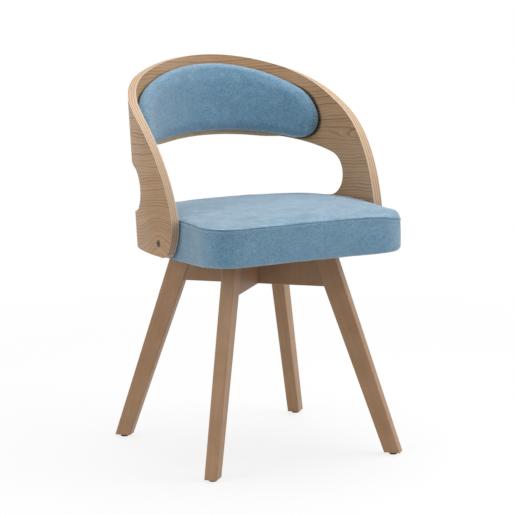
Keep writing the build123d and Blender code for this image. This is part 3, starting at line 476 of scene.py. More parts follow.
def fill(bm, edges, normal):
    """Flat faces inside closed rings of edges."""
    filled = bmesh.ops.triangle_fill(
        bm, edges=edges, use_beauty=True, use_dissolve=False, normal=normal)["geom"]
    return [item for item in filled if isinstance(item, bmesh.types.BMFace)]


def sleeve(bm, rings):
    """Joins rings of edges, each to the next."""
    for lower, upper in zip(rings, rings[1:]):
        bmesh.ops.bridge_loops(bm, edges=lower + upper)


def slab(outlines):
    """Closed flat slab of the sheet inside outlines drawn as (along, up), divided for bending."""
    bm = bmesh.new()
    edges = []
    for outline in outlines:
        edges += loop_of(bm, [(along, 0.0, up) for along, up in outline])
    fill(bm, edges, (0, -1, 0))
    reach = max(vert.co.x for vert in bm.verts)
    cut_across(bm, 0, -reach, reach, BEND_STEP)
    front = bmesh.ops.extrude_face_region(bm, geom=bm.faces[:], use_keep_orig=True)["geom"]
    moved = [item for item in front if isinstance(item, bmesh.types.BMVert)]
    bmesh.ops.translate(bm, verts=moved, vec=(0, PLY_THICKNESS, 0))
    bmesh.ops.recalc_face_normals(bm, faces=bm.faces)
    return bm


def arris_edges(bm):
    """Edges between the slab's two faces and its walls."""
    def is_arris(edge):
        flat = [abs(face.normal.y) > 0.9 for face in edge.link_faces]
        return len(flat) == 2 and flat[0] != flat[1]

    return [edge for edge in bm.edges if is_arris(edge)]


def bend_all(bm):
    for vert in bm.verts:
        vert.co = bend(vert.co)


def mark_flat_places(piece):
    """Keeps each point's flat place in an attribute, for the materials that follow the sheet."""
    marks = piece.data.attributes.new("sheet", "FLOAT_VECTOR", "POINT")
    for vertex, mark in zip(piece.data.vertices, marks.data):
        mark.vector = unbend(vertex.co)


# ---- material helpers

class Signal:
    """What a socket gives. Sums, products and powers of signals become math nodes of their tree."""

    def __init__(self, socket):
        self.socket = socket
        self.tree = socket.id_data

    def math(self, operation, other=0.0, other_first=False):
        pair = (other, self) if other_first else (self, other)
        return signal(self.tree, "ShaderNodeMath", dict(enumerate(pair)), operation=operation)

    def __add__(self, other):
        return self.math("ADD", other)

    def __sub__(self, other):
        return self.math("SUBTRACT", other)

    def __rsub__(self, other):
        return self.math("SUBTRACT", other, True)

    def __mul__(self, other):
        return self.math("MULTIPLY", other)

    def __truediv__(self, other):
        return self.math("DIVIDE", other)

    def __rtruediv__(self, other):
        return self.math("DIVIDE", other, True)

    def __pow__(self, exponent):
        return self.math("POWER", exponent)

    def __rpow__(self, base):
        return self.math("POWER", base, True)

    def __abs__(self):
        return self.math("ABSOLUTE")


def feed(socket, value):
    """Links a signal to an input, or sets the input to a value."""
    if isinstance(value, Signal):
        value.tree.links.new(value.socket, socket)
    else:
        socket.default_value = value


def put(tree, kind, inputs=None, **settings):
    """A new node with its settings, and its inputs set or linked."""
    node = tree.nodes.new(kind)
    for name, value in settings.items():
        setattr(node, name, value)
    for key, value in (inputs or {}).items():
        feed(node.inputs[key], value)
    return node


def signal(tree, kind, inputs=None, output=0, **settings):
    """One output of a new node."""
    return Signal(put(tree, kind, inputs, **settings).outputs[output])


def named_signals(sockets):
    return {socket.name: Signal(socket) for socket in sockets}


def separated(vector):
    """The three parts of a vector."""
    return [Signal(part) for part in put(vector.tree, "ShaderNodeSeparateXYZ", {0: vector}).outputs]


def joined(x, y, z=0.0):
    return signal(x.tree, "ShaderNodeCombineXYZ", {0: x, 1: y, 2: z})


def mixed(factor, first, second):
    """Two colours mixed, each a signal or an sRGB code."""
    first, second = [value if isinstance(value, Signal) else colour(value) for value in (first, second)]
    return signal(factor.tree, "ShaderNodeMix", {0: factor, 6: first, 7: second}, 2, data_type="RGBA")


def ranged(value, low, high, to_low=0.0, to_high=1.0):
    """A value carried from one range to another, clamped."""
    inputs = dict(enumerate((value, low, high, to_low, to_high)))
    return signal(value.tree, "ShaderNodeMapRange", inputs, clamp=True)


def scaled(vector, scale):
    return signal(vector.tree, "ShaderNodeVectorMath", {0: vector, 1: scale}, operation="MULTIPLY")


def noise_at(vector, scale, detail=2.0, roughness=0.5):
    """Noise at one scale, or at a scale for each axis."""
    if isinstance(scale, tuple):
        vector, scale = scaled(vector, scale), 1.0
    inputs = {"Vector": vector, "Scale": scale, "Detail": detail, "Roughness": roughness}
    return signal(vector.tree, "ShaderNodeTexNoise", inputs, "Fac")


def colour(code):
    """Linear colour of an sRGB code such as B59475."""
    parts = [int(code[k:k + 2], 16) / 255 for k in (0, 2, 4)]
    return tuple(p / 12.92 if p <= 0.04045 else ((p + 0.055) / 1.055) ** 2.4 for p in parts) + (1.0,)


def new_group(name, inputs, outputs):
    """Empty node group: its tree, its inputs as named signals, and the sockets that it puts out."""
    tree = bpy.data.node_groups.new(name, "ShaderNodeTree")
    for socket in inputs:
        kind = "NodeSocketVector" if socket == "Vector" else "NodeSocketFloat"
        tree.interface.new_socket(socket, in_out="INPUT", socket_type=kind)
    for socket in outputs:
        tree.interface.new_socket(socket, in_out="OUTPUT", socket_type="NodeSocketFloat")
    given = named_signals(tree.nodes.new("NodeGroupInput").outputs)
    return tree, given, tree.nodes.new("NodeGroupOutput").inputs


def effect(group, vector, **values):
    """What a node group puts out in a material, by name."""
    node = put(vector.tree, "ShaderNodeGroup", node_tree=group)
    for name, value in {"Vector": vector, **values}.items():
        feed(node.inputs[name], value)
    return named_signals(node.outputs)


def new_material(name):
    """Material with a Principled shader: (material, tree, shader)."""
    material = bpy.data.materials.new(name)
    material.use_nodes = True
    tree = material.node_tree
    return material, tree, next(n for n in tree.nodes if n.type == "BSDF_PRINCIPLED")


def finish_surface(shader, base, roughness, relief, distance, strength=0.6):
    """Gives a shader its colour, its roughness, and a relief as deep as a distance."""
    inputs = {"Height": relief, "Distance": distance, "Strength": strength}
    feed(shader.inputs["Base Color"], base)
    feed(shader.inputs["Roughness"], roughness)
    feed(shader.inputs["Normal"], signal(base.tree, "ShaderNodeBump", inputs, "Normal"))


def object_place(tree):
    return signal(tree, "ShaderNodeTexCoord", output="Object")


def attribute(tree, name, output="Vector"):
    return signal(tree, "ShaderNodeAttribute", None, output, attribute_type="GEOMETRY", attribute_name=name)


# ---- shared effects

def wood_grain_group():
    """Growth rings, fibres and pores. X runs along the grain and Y is the way the rings lie."""
    tree, given, out = new_group("wood grain", ("Vector", "Ring", "Seed"), ("Ring", "Fibre", "Pore"))
    x, y, z = separated(given["Vector"])
    place = joined(x, y, z + given["Seed"])
    sway = noise_at(place, (5.0, 22.0, 22.0))
    ripple = noise_at(place, (45.0, 60.0, 60.0), 1.0)
    turns = (y + (sway - 0.5) * 0.022 + (ripple - 0.5) * 0.0035) / given["Ring"]
    phase = turns.math("FRACT")
    strength = signal(tree, "ShaderNodeTexWhiteNoise", {"W": turns.math("FLOOR")}, noise_dimensions="1D")
    late_wood = phase ** 1.6 * ranged(phase, 0.8, 1.0, 1.0, 0.0)
    feed(out["Ring"], late_wood * (strength + 0.35))
    feed(out["Fibre"], noise_at(place, (22.0, 900.0, 900.0), 3.0, 0.6))
    feed(out["Pore"], ranged(noise_at(place, (130.0, 1700.0, 1700.0), 1.0), 0.62, 0.74))
    return tree


def mottle_group():
    """Broad uneven tone, from 0 to 1, at a size in metres."""
    tree, given, out = new_group("mottle", ("Vector", "Size"), ("Tone",))
    tone = noise_at(given["Vector"], 1.0 / given["Size"], 3.0, 0.55)
    feed(out["Tone"], ranged(tone, 0.3, 0.7))
    return tree


def weave_group():
    """Plain weave of thick and thin threads. X and Y lie in the cloth, in metres."""
    tree, given, out = new_group("weave", ("Vector", "Pitch"), ("Height", "Fleck"))
    place = given["Vector"]
    shift = (noise_at(place, 140.0) - 0.5) * 0.0011
    turns = [(axis + shift) / given["Pitch"] for axis in separated(place)[:2]]
    warp, weft = [(turn * math.pi).math("SINE") for turn in turns]
    side = ranged(warp * weft, -0.25, 0.25)
    height = abs(warp) * side + abs(weft) * (1.0 - side)
    feed(out["Height"], height + noise_at(place, 2600.0) * 0.6)
    cell = joined(*[turn.math("FLOOR") for turn in turns])
    fleck = signal(tree, "ShaderNodeTexWhiteNoise", {"Vector": cell}, noise_dimensions="2D")
    feed(out["Fleck"], fleck * 0.55 + noise_at(place, (60.0, 900.0, 60.0)) * 0.45)
    return tree


GRAIN = wood_grain_group()
MOTTLE = mottle_group()
WEAVE = weave_group()


# ---- materials

def veneer_material():
    """Matt lacquered veneer: fine wavy grain round the shell, bent into cathedral figures."""
    material, tree, shader = new_material("shell veneer")
    along, out, up = separated(attribute(tree, "sheet"))
    rise = up
    for centre, size, height in VENEER_FIGURES:
        x, y = (along - centre[0]) / size[0], (up - centre[1]) / size[1]
        rise = rise + math.e ** ((x * x + y * y) * -1.0) * height
    place = joined(along, rise, out)
    grain = effect(GRAIN, place, Ring=VENEER_RING, Seed=0.0)
    fibre, pore = grain["Fibre"], grain["Pore"]
    base = mixed(effect(MOTTLE, place, Size=0.09)["Tone"], "B8946D", "C6A27B")
    base = mixed(grain["Ring"] * 1.1, base, "82593A")
    base = mixed(ranged(fibre, 0.35, 0.75, 0.0, 0.45), base, "9E7852")
    base = mixed(pore * 0.5, base, "74543A")
    finish_surface(shader, base, ranged(fibre, 0.3, 0.8, 0.42, 0.56), fibre - pore * 0.8, 0.00012)
    return material


def ply_edge_material():
    """Sanded edge of the bent plywood: thin plies, light and brown in turn, between two pale skins."""
    material, tree, shader = new_material("shell ply edge")
    place = attribute(tree, "sheet")
    depth = separated(place)[1]
    plies = (depth + (noise_at(place, 30.0, 1.0) - 0.5) * 0.0004) / (PLY_THICKNESS / PLY_COUNT)
    brown = ranged(abs((plies * 0.5).math("FRACT") - 0.5), 0.21, 0.29)
    fibre = noise_at(place, (160.0, 1400.0, 160.0), 3.0, 0.6)
    base = mixed(brown * 0.6, "CEB294", "9C7855")
    base = mixed(ranged(fibre, 0.35, 0.7, 0.0, 0.35), base, "96735A")
    base = mixed(ranged(abs(depth - PLY_THICKNESS / 2), 0.0074, 0.0079), base, "E4D3BC")
    finish_surface(shader, base, ranged(fibre, 0.3, 0.8, 0.5, 0.65), fibre - brown * 0.5, 0.00015)
    return material


def solid_wood_material(name, grain_axis, light, dark, seed):
    """Matt lacquered solid wood with its grain along an axis of the chair."""
    material, tree, shader = new_material(name)
    turn = Vector(grain_axis).rotation_difference(Vector((1, 0, 0))).to_euler()
    place = signal(tree, "ShaderNodeMapping", {0: object_place(tree), 2: turn})
    grain = effect(GRAIN, place, Ring=SOLID_WOOD_RING, Seed=seed)
    fibre = grain["Fibre"]
    moved = signal(tree, "ShaderNodeMapping", {0: place, 1: (seed, 0, 0)})
    fleck = noise_at(moved, (220.0, 800.0, 800.0), 1.0)
    base = mixed(effect(MOTTLE, place, Size=0.07)["Tone"], light, dark)
    base = mixed(grain["Ring"] * 0.22, base, "83603F")
    base = mixed(ranged(fibre, 0.4, 0.8, 0.0, 0.22), base, "8D6A49")
    base = mixed(ranged(fleck, 0.68, 0.75, 0.0, 0.6), base, "664830")
    finish_surface(shader, base, ranged(fibre, 0.3, 0.8, 0.40, 0.54), fibre, 0.0001, 0.5)
    return material


def raw_ply_material():
    """Unfinished plywood inside the upholstery, with its plies level."""
    material, tree, shader = new_material("raw plywood")
    place = object_place(tree)
    ply = (separated(place)[2] / RAW_PLY_LAYER).math("FRACT")
    fibre = noise_at(place, (20.0, 500.0, 500.0), 3.0)
    base = mixed(ranged(ply, 0.45, 0.55, 0.0, 0.6), "CDB48E", "A98A62")
    base = mixed(ranged(fibre, 0.4, 0.8, 0.0, 0.5), base, "8F7048")
    finish_surface(shader, base, ranged(fibre, 0.3, 0.8, 0.6, 0.8), fibre, 0.0002)
    return material


def upholstery_material(name, light, dark, deep):
    """Soft blue heather cloth with a mottled nap and painted highlight: light patches lie fully on the seat's top
    panel and weakly on its sides and the pad. It follows the piece's own cloth attribute.
    """
    material, tree, shader = new_material(name)
    place = attribute(tree, "cloth")
    body = object_place(tree)
    weave = effect(WEAVE, place, Pitch=CLOTH_PITCH)
    nap = effect(MOTTLE, scaled(body, (1.0, 1.6, 1.0)), Size=0.045)["Tone"]
    cloud = effect(MOTTLE, body, Size=0.016)["Tone"]
    heather = noise_at(scaled(body, (1.0, 0.45, 1.0)), 330.0, 3.0, 0.75)
    # Painted highlight: the cloth attribute's third part is 1 on the seat's top panel. So the light cloud patches
    # and the full nap mottle lie there, and only weakly on the sides and the pad.
    nap_and_top_highlight = ranged(separated(place)[2], 0.4, 0.6, 0.3, 1.0)
    base = mixed((nap - 0.55) * nap_and_top_highlight + 0.5, dark, light)
    base = mixed(ranged(heather, 0.38, 0.68, 0.0, 0.85), base, deep)
    base = mixed(ranged(weave["Fleck"], 0.55, 0.85, 0.0, 0.5), base, "A5C1D1")
    base = mixed(ranged(cloud, 0.45, 1.0, 0.0, 0.35) * nap_and_top_highlight, base, "B4C9D6")
    # Painted shade: the cover is darkened in patches along the seat's seam crease, by the attribute that the
    # cushion marks next to its seam.
    patchy = ranged(noise_at(body, 70.0, 1.0), 0.35, 0.65, 0.15, 0.55)
    base = mixed(attribute(tree, "seam_shade", "Fac") * patchy, base, "2F5468")
    shader.inputs["Specular IOR Level"].default_value = 0.2
    shader.inputs["Sheen Weight"].default_value = 0.7
    shader.inputs["Sheen Roughness"].default_value = 0.5
    height = weave["Height"]
    finish_surface(shader, base, ranged(height, 0.2, 1.4, 0.95, 0.8), height + heather * 0.8, 0.0004, 0.75)
    return material


def black_cloth_material():
    """Thin non-woven cloth, pressed in small dimples."""
    material, tree, shader = new_material("black non-woven cloth")
    place = object_place(tree)
    dimples = signal(tree, "ShaderNodeTexVoronoi", {"Vector": place, "Scale": 520.0}, "Distance")
    fuzz = noise_at(place, 900.0, 3.0)
    base = mixed(fuzz, "0E0E0F", "2A2A2C")
    finish_surface(shader, base, ranged(fuzz, 0.3, 0.7, 0.8, 0.95), dimples + fuzz, 0.0003, 0.7)
    return material


def plastic_material(name, base_code, fleck_code, roughness):
    """Moulded plastic with a fine spark texture."""
    material, tree, shader = new_material(name)
    place = object_place(tree)
    scuff = effect(MOTTLE, place, Size=0.006)["Tone"]
    rough = ranged(scuff, 0.0, 1.0, roughness, roughness + 0.15)
    finish_surface(shader, mixed(scuff, base_code, fleck_code), rough, noise_at(place, 2200.0), 0.00005, 0.5)
    return material


def metal_material(name, base_code, tint_code, roughness, metallic, speck_size):
    """Metal or coated metal with uneven tone and a fine surface."""
    material, tree, shader = new_material(name)
    place = object_place(tree)
    tone = effect(MOTTLE, place, Size=0.008)["Tone"]
    fine = noise_at(place, 1.0 / speck_size, 3.0)
    rough = ranged(fine, 0.3, 0.7, roughness - 0.07, roughness + 0.1)
    shader.inputs["Metallic"].default_value = metallic
    finish_surface(shader, mixed(tone, base_code, tint_code), rough, fine, speck_size / 20, 0.5)
    return material


def thread_material():
    """Twisted sewing thread."""
    material, tree, shader = new_material("seat thread")
    twist = noise_at(object_place(tree), (2500.0, 2500.0, 4200.0), 1.0)
    base = mixed(twist, "9BB8C9", "BFD2DC")
    finish_surface(shader, base, ranged(twist, 0.3, 0.7, 0.6, 0.75), twist, 0.0001)
    return material


# ---- shell

def bolt_hole(along):
    """Round hole for a shell bolt, flat."""
    up = level_height(station(along, PLY_THICKNESS)[1], BOLT_Z)
    turns = [2 * math.pi * k / BOLT_HOLE_SIDES for k in range(BOLT_HOLE_SIDES)]
    radius = BOLT_RECESS_RADIUS
    return [(along + radius * math.cos(turn), up + radius * math.sin(turn)) for turn in turns]


def build_shell():
    """Bent plywood shell with its window, bolt holes and eased arrises."""
    outlines = [shell_outline(), window_outline()] + [bolt_hole(along) for along in BOLT_ALONGS]
    bm = slab(outlines)
    for face in bm.faces:
        face.material_index = 0 if abs(face.normal.y) > 0.9 else 1
    bmesh.ops.bevel(
        bm, geom=arris_edges(bm), offset=ARRIS, affect="EDGES", segments=2, profile=0.5, material=1,
        clamp_overlap=True)
    bend_all(bm)
    bmesh.ops.recalc_face_normals(bm, faces=bm.faces)
    shell = new_piece("plywood_shell", bm, [veneer_material(), ply_edge_material()])
    mark_flat_places(shell)
    smooth(shell)
    harden = shell.modifiers.new("flat faces", "WEIGHTED_NORMAL")
    harden.weight = 50
    harden.keep_sharp = True
    dress(shell, "seat", "veneered_ply", "back_shell")


# ---- stuffing

def swelling(piece, voxel, held, reach):
    """Runs a cloth simulation of the piece's cover over its stuffing.

    held says which places are sewn or stapled down, and reach how far a place may move. Returns a
    function from a place on the piece to the move of the cover there."""
    trial = bpy.data.objects.new(piece.name + "_trial", piece.data.copy())
    bpy.context.scene.collection.objects.link(trial)
    even = trial.modifiers.new("even mesh", "REMESH")
    even.mode = "VOXEL"
    even.voxel_size = voxel
    settle(trial)
    starts = [vertex.co.copy() for vertex in trial.data.vertices]
    group = trial.vertex_groups.new(name="held")
    group.add([k for k, start in enumerate(starts) if held(start)], 1.0, "REPLACE")
    cloth = trial.modifiers.new("stuffing", "CLOTH").settings
    cloth.use_pressure = True
    cloth.uniform_pressure_force = STUFFING_PRESSURE
    cloth.effector_weights.gravity = 0.0
    cloth.vertex_group_mass = group.name
    for number in range(1, STUFFING_FRAMES + 1):
        bpy.context.scene.frame_set(number)
    settle(trial)
    near = kdtree.KDTree(len(starts))
    moves = []
    for k, (start, vertex) in enumerate(zip(starts, trial.data.vertices)):
        move = vertex.co - start
        limit = reach(start)
        if move.length > limit:
            move *= limit / move.length
        near.insert(start, k)
        moves.append(move)
    near.balance()
    bpy.data.objects.remove(trial)
    bpy.context.scene.frame_set(1)

    def move_at(place):
        found = near.find_n(place, 6)
        weights = [1.0 / (distance + 0.001) for _, _, distance in found]
        total = sum((moves[k] * weight for (_, k, _), weight in zip(found, weights)), Vector())
        return total / sum(weights)

    return move_at


def swell(piece, move_at):
    for vertex in piece.data.vertices:
        vertex.co += move_at(vertex.co)


def raise_by(piece, lift):
    """Moves every point of a piece along its normal by what lift gives for its place."""
    normals = [vertex.normal.copy() for vertex in piece.data.vertices]
    for vertex, normal in zip(piece.data.vertices, normals):
        vertex.co += normal * lift(vertex.co)


def subdivide(piece):
    modifier = piece.modifiers.new("smooth", "SUBSURF")
    modifier.levels = 1
    modifier.render_levels = 1
    settle(piece)


def ease(value, low, high):
    """0 below low, 1 above high, and a soft step between."""
    part = max(0.0, min(1.0, (value - low) / (high - low)))
    return part * part * (3 - 2 * part)


# ---- seat cushion

def crown_height(x, y):
    """Height of the seat cushion's crowned top at a place."""
    y -= SWIVEL.y + SEAT_CROWN_Y
    return SEAT_CROWN_Z - x * x / (2 * SEAT_CROWN_SIDE_RADIUS) - y * y / (2 * SEAT_CROWN_DEPTH_RADIUS)


def corner_share(place):
    """1 at the cushion's right front corner, where the seam droops, and 0 away from it."""
    away = Vector((place.x - DROOP_X, place.y - DROOP_Y)).length
    return math.exp(-(away / DROOP_REACH) ** 2)


def front_share(place):
    """0 inside the shell's wings and 1 at the front, clear of them."""
    return ease(-place.y, FRONT_STARTS, FRONT_ENDS)


def seam_height(edge):
    """The seam runs level, and droops at the right front corner and towards the rear."""
    waver = noise.noise(Vector((edge.x * 24, edge.y * 24, 9.0))) * SEAM_WAVER
    rear = SEAM_REAR_DROP * ease(edge.y, -0.06, 0.16)
    return SEAM_Z - SEAM_CORNER_DROP * corner_share(edge) - rear + waver


def topstitch_height(edge):
    return seam_height(edge) - TOPSTITCH_DROP


def hem_round(edge):
    return HEM_ROUND + HEM_FRONT_ROUND * front_share(edge)


def hem_height(edge):
    """The stuffing hangs a little lower along the sides than at the front."""
    return SEAT_BOTTOM_Z - SEAT_SIDE_SAG * (1.0 - front_share(edge))


def rim(height):
    """(edge point, inward direction) round the cushion's plan at a height."""
    edge, drawn = seat_outline(0.0, height), seat_outline(0.010, height)
    return [(outer, (inner - outer).normalized()) for outer, inner in zip(edge, drawn)]


def side_levels():
    """Levels of the side band, each a function from the edge point to (inset, height)."""
    def under(inset):
        return lambda edge: (inset, SEAT_BOTTOM_Z)

    def hem(turn):
        return lambda edge: (
            hem_round(edge) * (1 - math.sin(turn)), hem_height(edge) + hem_round(edge) * (1 - math.cos(turn)))

    def band(part):
        def level(edge):
            low, high = hem_height(edge) + hem_round(edge), topstitch_height(edge) - 0.003
            return -0.0006 * math.sin(math.pi * part), low + (high - low) * part
        return level

    def beside(line, rise, inset):
        return lambda edge: (inset, line(edge) + rise)

    levels = [under(inset) for inset in SEAT_UNDER_INSETS]
    levels += [hem(math.radians(turn)) for turn in range(0, 90, 15)]
    levels += [band(k / 9) for k in range(10)]
    levels += [beside(topstitch_height, rise, inset) for rise, inset in TOPSTITCH_FOLD]
    return levels + [beside(seam_height, rise, inset) for rise, inset in SEAM_LIP]


def top_levels():
    """Levels of the top panel's roll, from the seam inwards."""
    def roll(turn):
        def level(edge):
            width = ROLL_WIDTH + ROLL_CORNER_WIDTH * corner_share(edge)
            start = seam_height(edge) + SEAM_HALF_WIDTH
            inset = -0.0004 + width * (1 - math.cos(turn))
            return inset, start + (edge_top(edge, width) - start) * math.sin(turn)
        return level

    levels = [lambda edge: (0.0010, seam_height(edge) + SEAM_HALF_WIDTH)]
    return levels + [roll(math.radians(turn)) for turn in (12, 28, 44, 60, 75, 90)]


def edge_top(edge, width):
    """Height of the top panel where its roll ends."""
    toward = Vector((-edge.x, -edge.y)).normalized() * width
    return crown_height(edge.x + toward.x, edge.y + toward.y) + SEAT_TOP_LIFT


def form_seat_cushion():
    """The cushion as its cover is cut: a side band, a seam, and a crowned top panel."""
    bm = bmesh.new()
    cloth = bm.verts.layers.float_vector.new("cloth")
    seam_shade = bm.verts.layers.float.new("seam_shade")
    middle_rim = rim(SEAT_BOTTOM_Z + 0.04)
    rims = {}

    def point(k, level):
        inset, height = level(middle_rim[k][0])
        key = round(height, 3)
        if key not in rims:
            rims[key] = rim(key)
        outer, inward = rims[key][k]
        return Vector((*(outer + inward * inset), height))

    lengths = [0.0]
    for (before, _), (after, _) in zip(middle_rim, middle_rim[1:]):
        lengths.append(lengths[-1] + (after - before).length)
    sides = side_levels()
    rings = []
    for number, level in enumerate(sides + top_levels()):
        points = [point(k, level) for k in range(len(middle_rim))]
        rings.append(loop_of(bm, points))
        bm.verts.ensure_lookup_table()
        for k, vert in enumerate(bm.verts[-len(points):]):
            # The cloth attribute's third part is 1 on the top panel, which gets the painted highlight.
            on_top = number >= len(sides)
            vert[cloth] = (vert.co.x, vert.co.y, 1.0) if on_top else (lengths[k], vert.co.z, 0.0)
            # Painted shade: the rings at the seam are marked for darkening in the cover's colour.
            vert[seam_shade] = max(0.0, 1.0 - 0.75 * abs(number - len(sides) + 1))
    sleeve(bm, rings)
    fill(bm, rings[0], (0, 0, -1))
    rim_verts = {vert for edge in rings[-1] for vert in edge.verts}
    top = fill(bm, rings[-1], (0, 0, 1))
    for axis in (0, 1):
        top = cut_across(bm, axis, -SEAT_REACH, SEAT_REACH, SEAT_STEP, top)
    inside = dict.fromkeys(vert for face in top for vert in face.verts if vert not in rim_verts)
    bmesh.ops.remove_doubles(bm, verts=list(inside), dist=SEAT_STEP_LEAST)
    for vert in bm.verts:
        if vert.co.z > SEAT_TOP_FROM and vert not in rim_verts:
            if all(face.normal.z > 0.9 for face in vert.link_faces):
                vert.co.z = crown_height(vert.co.x, vert.co.y) + SEAT_TOP_LIFT
                vert[cloth] = (vert.co.x, vert.co.y, 1.0)
    bmesh.ops.recalc_face_normals(bm, faces=bm.faces)
    cover = upholstery_material("seat cloth", "8CB9D4", "6292B0", "477A99")
    return new_piece("seat_cushion", bm, [cover])


def seat_reach(place):
    """How far the stuffing may push the seat's cover at a place."""
    if place.z > seam_height(place) + 0.001:
        inward = ease(0.245 - max(abs(place.x), abs(place.y)), 0.0, 0.05)
        return 0.001 + TOP_SWELL * inward
    return SIDE_SWELL + (FRONT_SWELL - SIDE_SWELL) * front_share(place)


def seat_held(place):
    """The seat's cover is held under the board and at its seam."""
    if place.z < SEAT_BOTTOM_Z + 0.006:
        return True
    edge_distance = min((Vector(place.xy) - point).length for point in SEAM_PLAN[::3])
    return abs(place.z - seam_height(place)) < 0.003 and edge_distance < 0.006


SEAM_PLAN = seat_outline(0.0, SEAT_CROWN_Z - 0.012)


def seat_unevenness(place):
    """Slight unevenness of a sewn cover: puckers at the seam, and slack folds at the front left."""
    off_seam = place.z - seam_height(place)
    front = front_share(place)
    at_edge = math.exp(-(off_seam / 0.012) ** 2)
    pucker = noise.noise(Vector((place.x * 85, place.y * 85, place.z * 20))) * at_edge * 0.0009
    slack = noise.noise(Vector((place.x * 16 + 3, place.y * 34, place.z * 22))) * (0.0004 + front * 0.0010)
    folds = math.exp(-((place.x + 0.12) / 0.10) ** 2 - ((place.y + 0.17) / 0.09) ** 2)
    crease = noise.noise(Vector((place.x * 22 + place.y * 30, place.y * 60 - place.x * 35, 4.0)))
    held_in = 1.0 - 0.8 * (1.0 - front) * (off_seam < 0)
    return (pucker + slack + crease * folds * 0.0013) * held_in


def build_seat_cushion():
    """Seat cushion: boxed cover over stuffing, with a sunk seam and a topstitched fold under it."""
    cushion = form_seat_cushion()
    swell(cushion, swelling(cushion, CUSHION_VOXEL, seat_held, seat_reach))
    raise_by(cushion, seat_unevenness)
    subdivide(cushion)
    smooth(cushion)
    dress(cushion, "seat", "blue_fabric", "seat_cover", "seat_foam")
    sew_topstitch(cushion)


def evenly(points, pitch):
    """(place, direction) at even distances along a closed line."""
    closed = points + points[:1]
    placed, walked = [], 0.0
    for before, after in zip(closed, closed[1:]):
        span = (after - before).length
        while walked < span:
            placed.append((before.lerp(after, walked / span), (after - before).normalized()))
            walked += pitch
        walked -= span
    return placed


def sew_topstitch(cushion):
    """Topstitch through the fold under the seat's seam, as short stitches set into the cover."""
    cover = BVHTree.FromPolygons(
        [vertex.co for vertex in cushion.data.vertices], [face.vertices[:] for face in cushion.data.polygons])
    line = [Vector((edge.x, edge.y, topstitch_height(edge))) for edge, _ in rim(SEAT_CROWN_Z - 0.014)]
    shape = Matrix.Diagonal((STITCH_LENGTH / 2, STITCH_THICKNESS / 2, STITCH_THICKNESS / 2, 1.0))
    bm = bmesh.new()
    for place, direction in evenly(line, STITCH_PITCH):
        spot, normal, _, _ = cover.find_nearest(place)
        aside = normal.cross(direction).normalized()
        turn = Matrix((aside.cross(normal), aside, normal)).transposed().to_4x4()
        matrix = Matrix.Translation(spot + normal * STITCH_LIFT) @ turn @ shape
        bmesh.ops.create_uvsphere(bm, u_segments=6, v_segments=5, radius=1.0, matrix=matrix)
    stitches = new_piece("seat_topstitch", bm, [thread_material()])
    smooth(stitches)
    dress(stitches, "seat", "blue_fabric")


# ---- back pad

def form_pad():
    """Back pad as its cover lies: flat behind, with a full round rim in front."""
    bm = bmesh.new()
    far = -PAD_STANDOFF - PAD_THICKNESS
    levels = [(inset, out - PAD_STANDOFF) for inset, out in PAD_BACK_LEVELS]
    for turn in PAD_RIM_TURNS:
        inset = PAD_RIM_WIDTH * (1 - math.cos(math.radians(turn)))
        levels.append((inset, far + PAD_RIM_DEPTH * (1 - math.sin(math.radians(turn)))))
    rings = [loop_of(bm, [(along, out, up) for along, up in pad_outline(inset)]) for inset, out in levels]
    sleeve(bm, rings)
    front = fill(bm, rings[-1], (0, -1, 0))
    front = cut_across(bm, 0, -PAD_REACH, PAD_REACH, PAD_STEP, front)
    cut_across(bm, 2, PAD_LOWEST, PAD_HIGHEST, PAD_STEP, front)
    rim_verts = {vert for edge in rings[-1] for vert in edge.verts}
    inside = [vert for vert in bm.verts if abs(vert.co.y - far) < 1e-5 and vert not in rim_verts]
    bmesh.ops.remove_doubles(bm, verts=inside, dist=PAD_STEP_LEAST)
    cut_across(bm, 0, -PAD_REACH, PAD_REACH, PAD_STEP, fill(bm, rings[0], (0, 1, 0)))
    cloth = bm.verts.layers.float_vector.new("cloth")
    for vert in bm.verts:
        vert[cloth] = (vert.co.x, vert.co.z, PAD_NAP_AND_HIGHLIGHT)
    bend_all(bm)
    bmesh.ops.recalc_face_normals(bm, faces=bm.faces)
    cover = upholstery_material("back pad cloth", "7EAFCF", "6898B5", "44708C")
    return new_piece("back_cushion", bm, [cover])


def pad_held(place):
    return unbend(place)[1] > -PAD_STANDOFF - 0.005


def pad_unevenness(place):
    return noise.noise(Vector((place.x * 18, place.y * 18, place.z * 26))) * PAD_UNEVENNESS


def build_pad():
    """Back pad, bent like the shell and stuffed, with its edging."""
    pad = form_pad()
    swell(pad, swelling(pad, PAD_VOXEL, pad_held, lambda place: PAD_SWELL))
    raise_by(pad, pad_unevenness)
    subdivide(pad)
    smooth(pad)
    dress(pad, "seat", "blue_fabric", "pad_cover", "pad_foam")
    edge_pad()


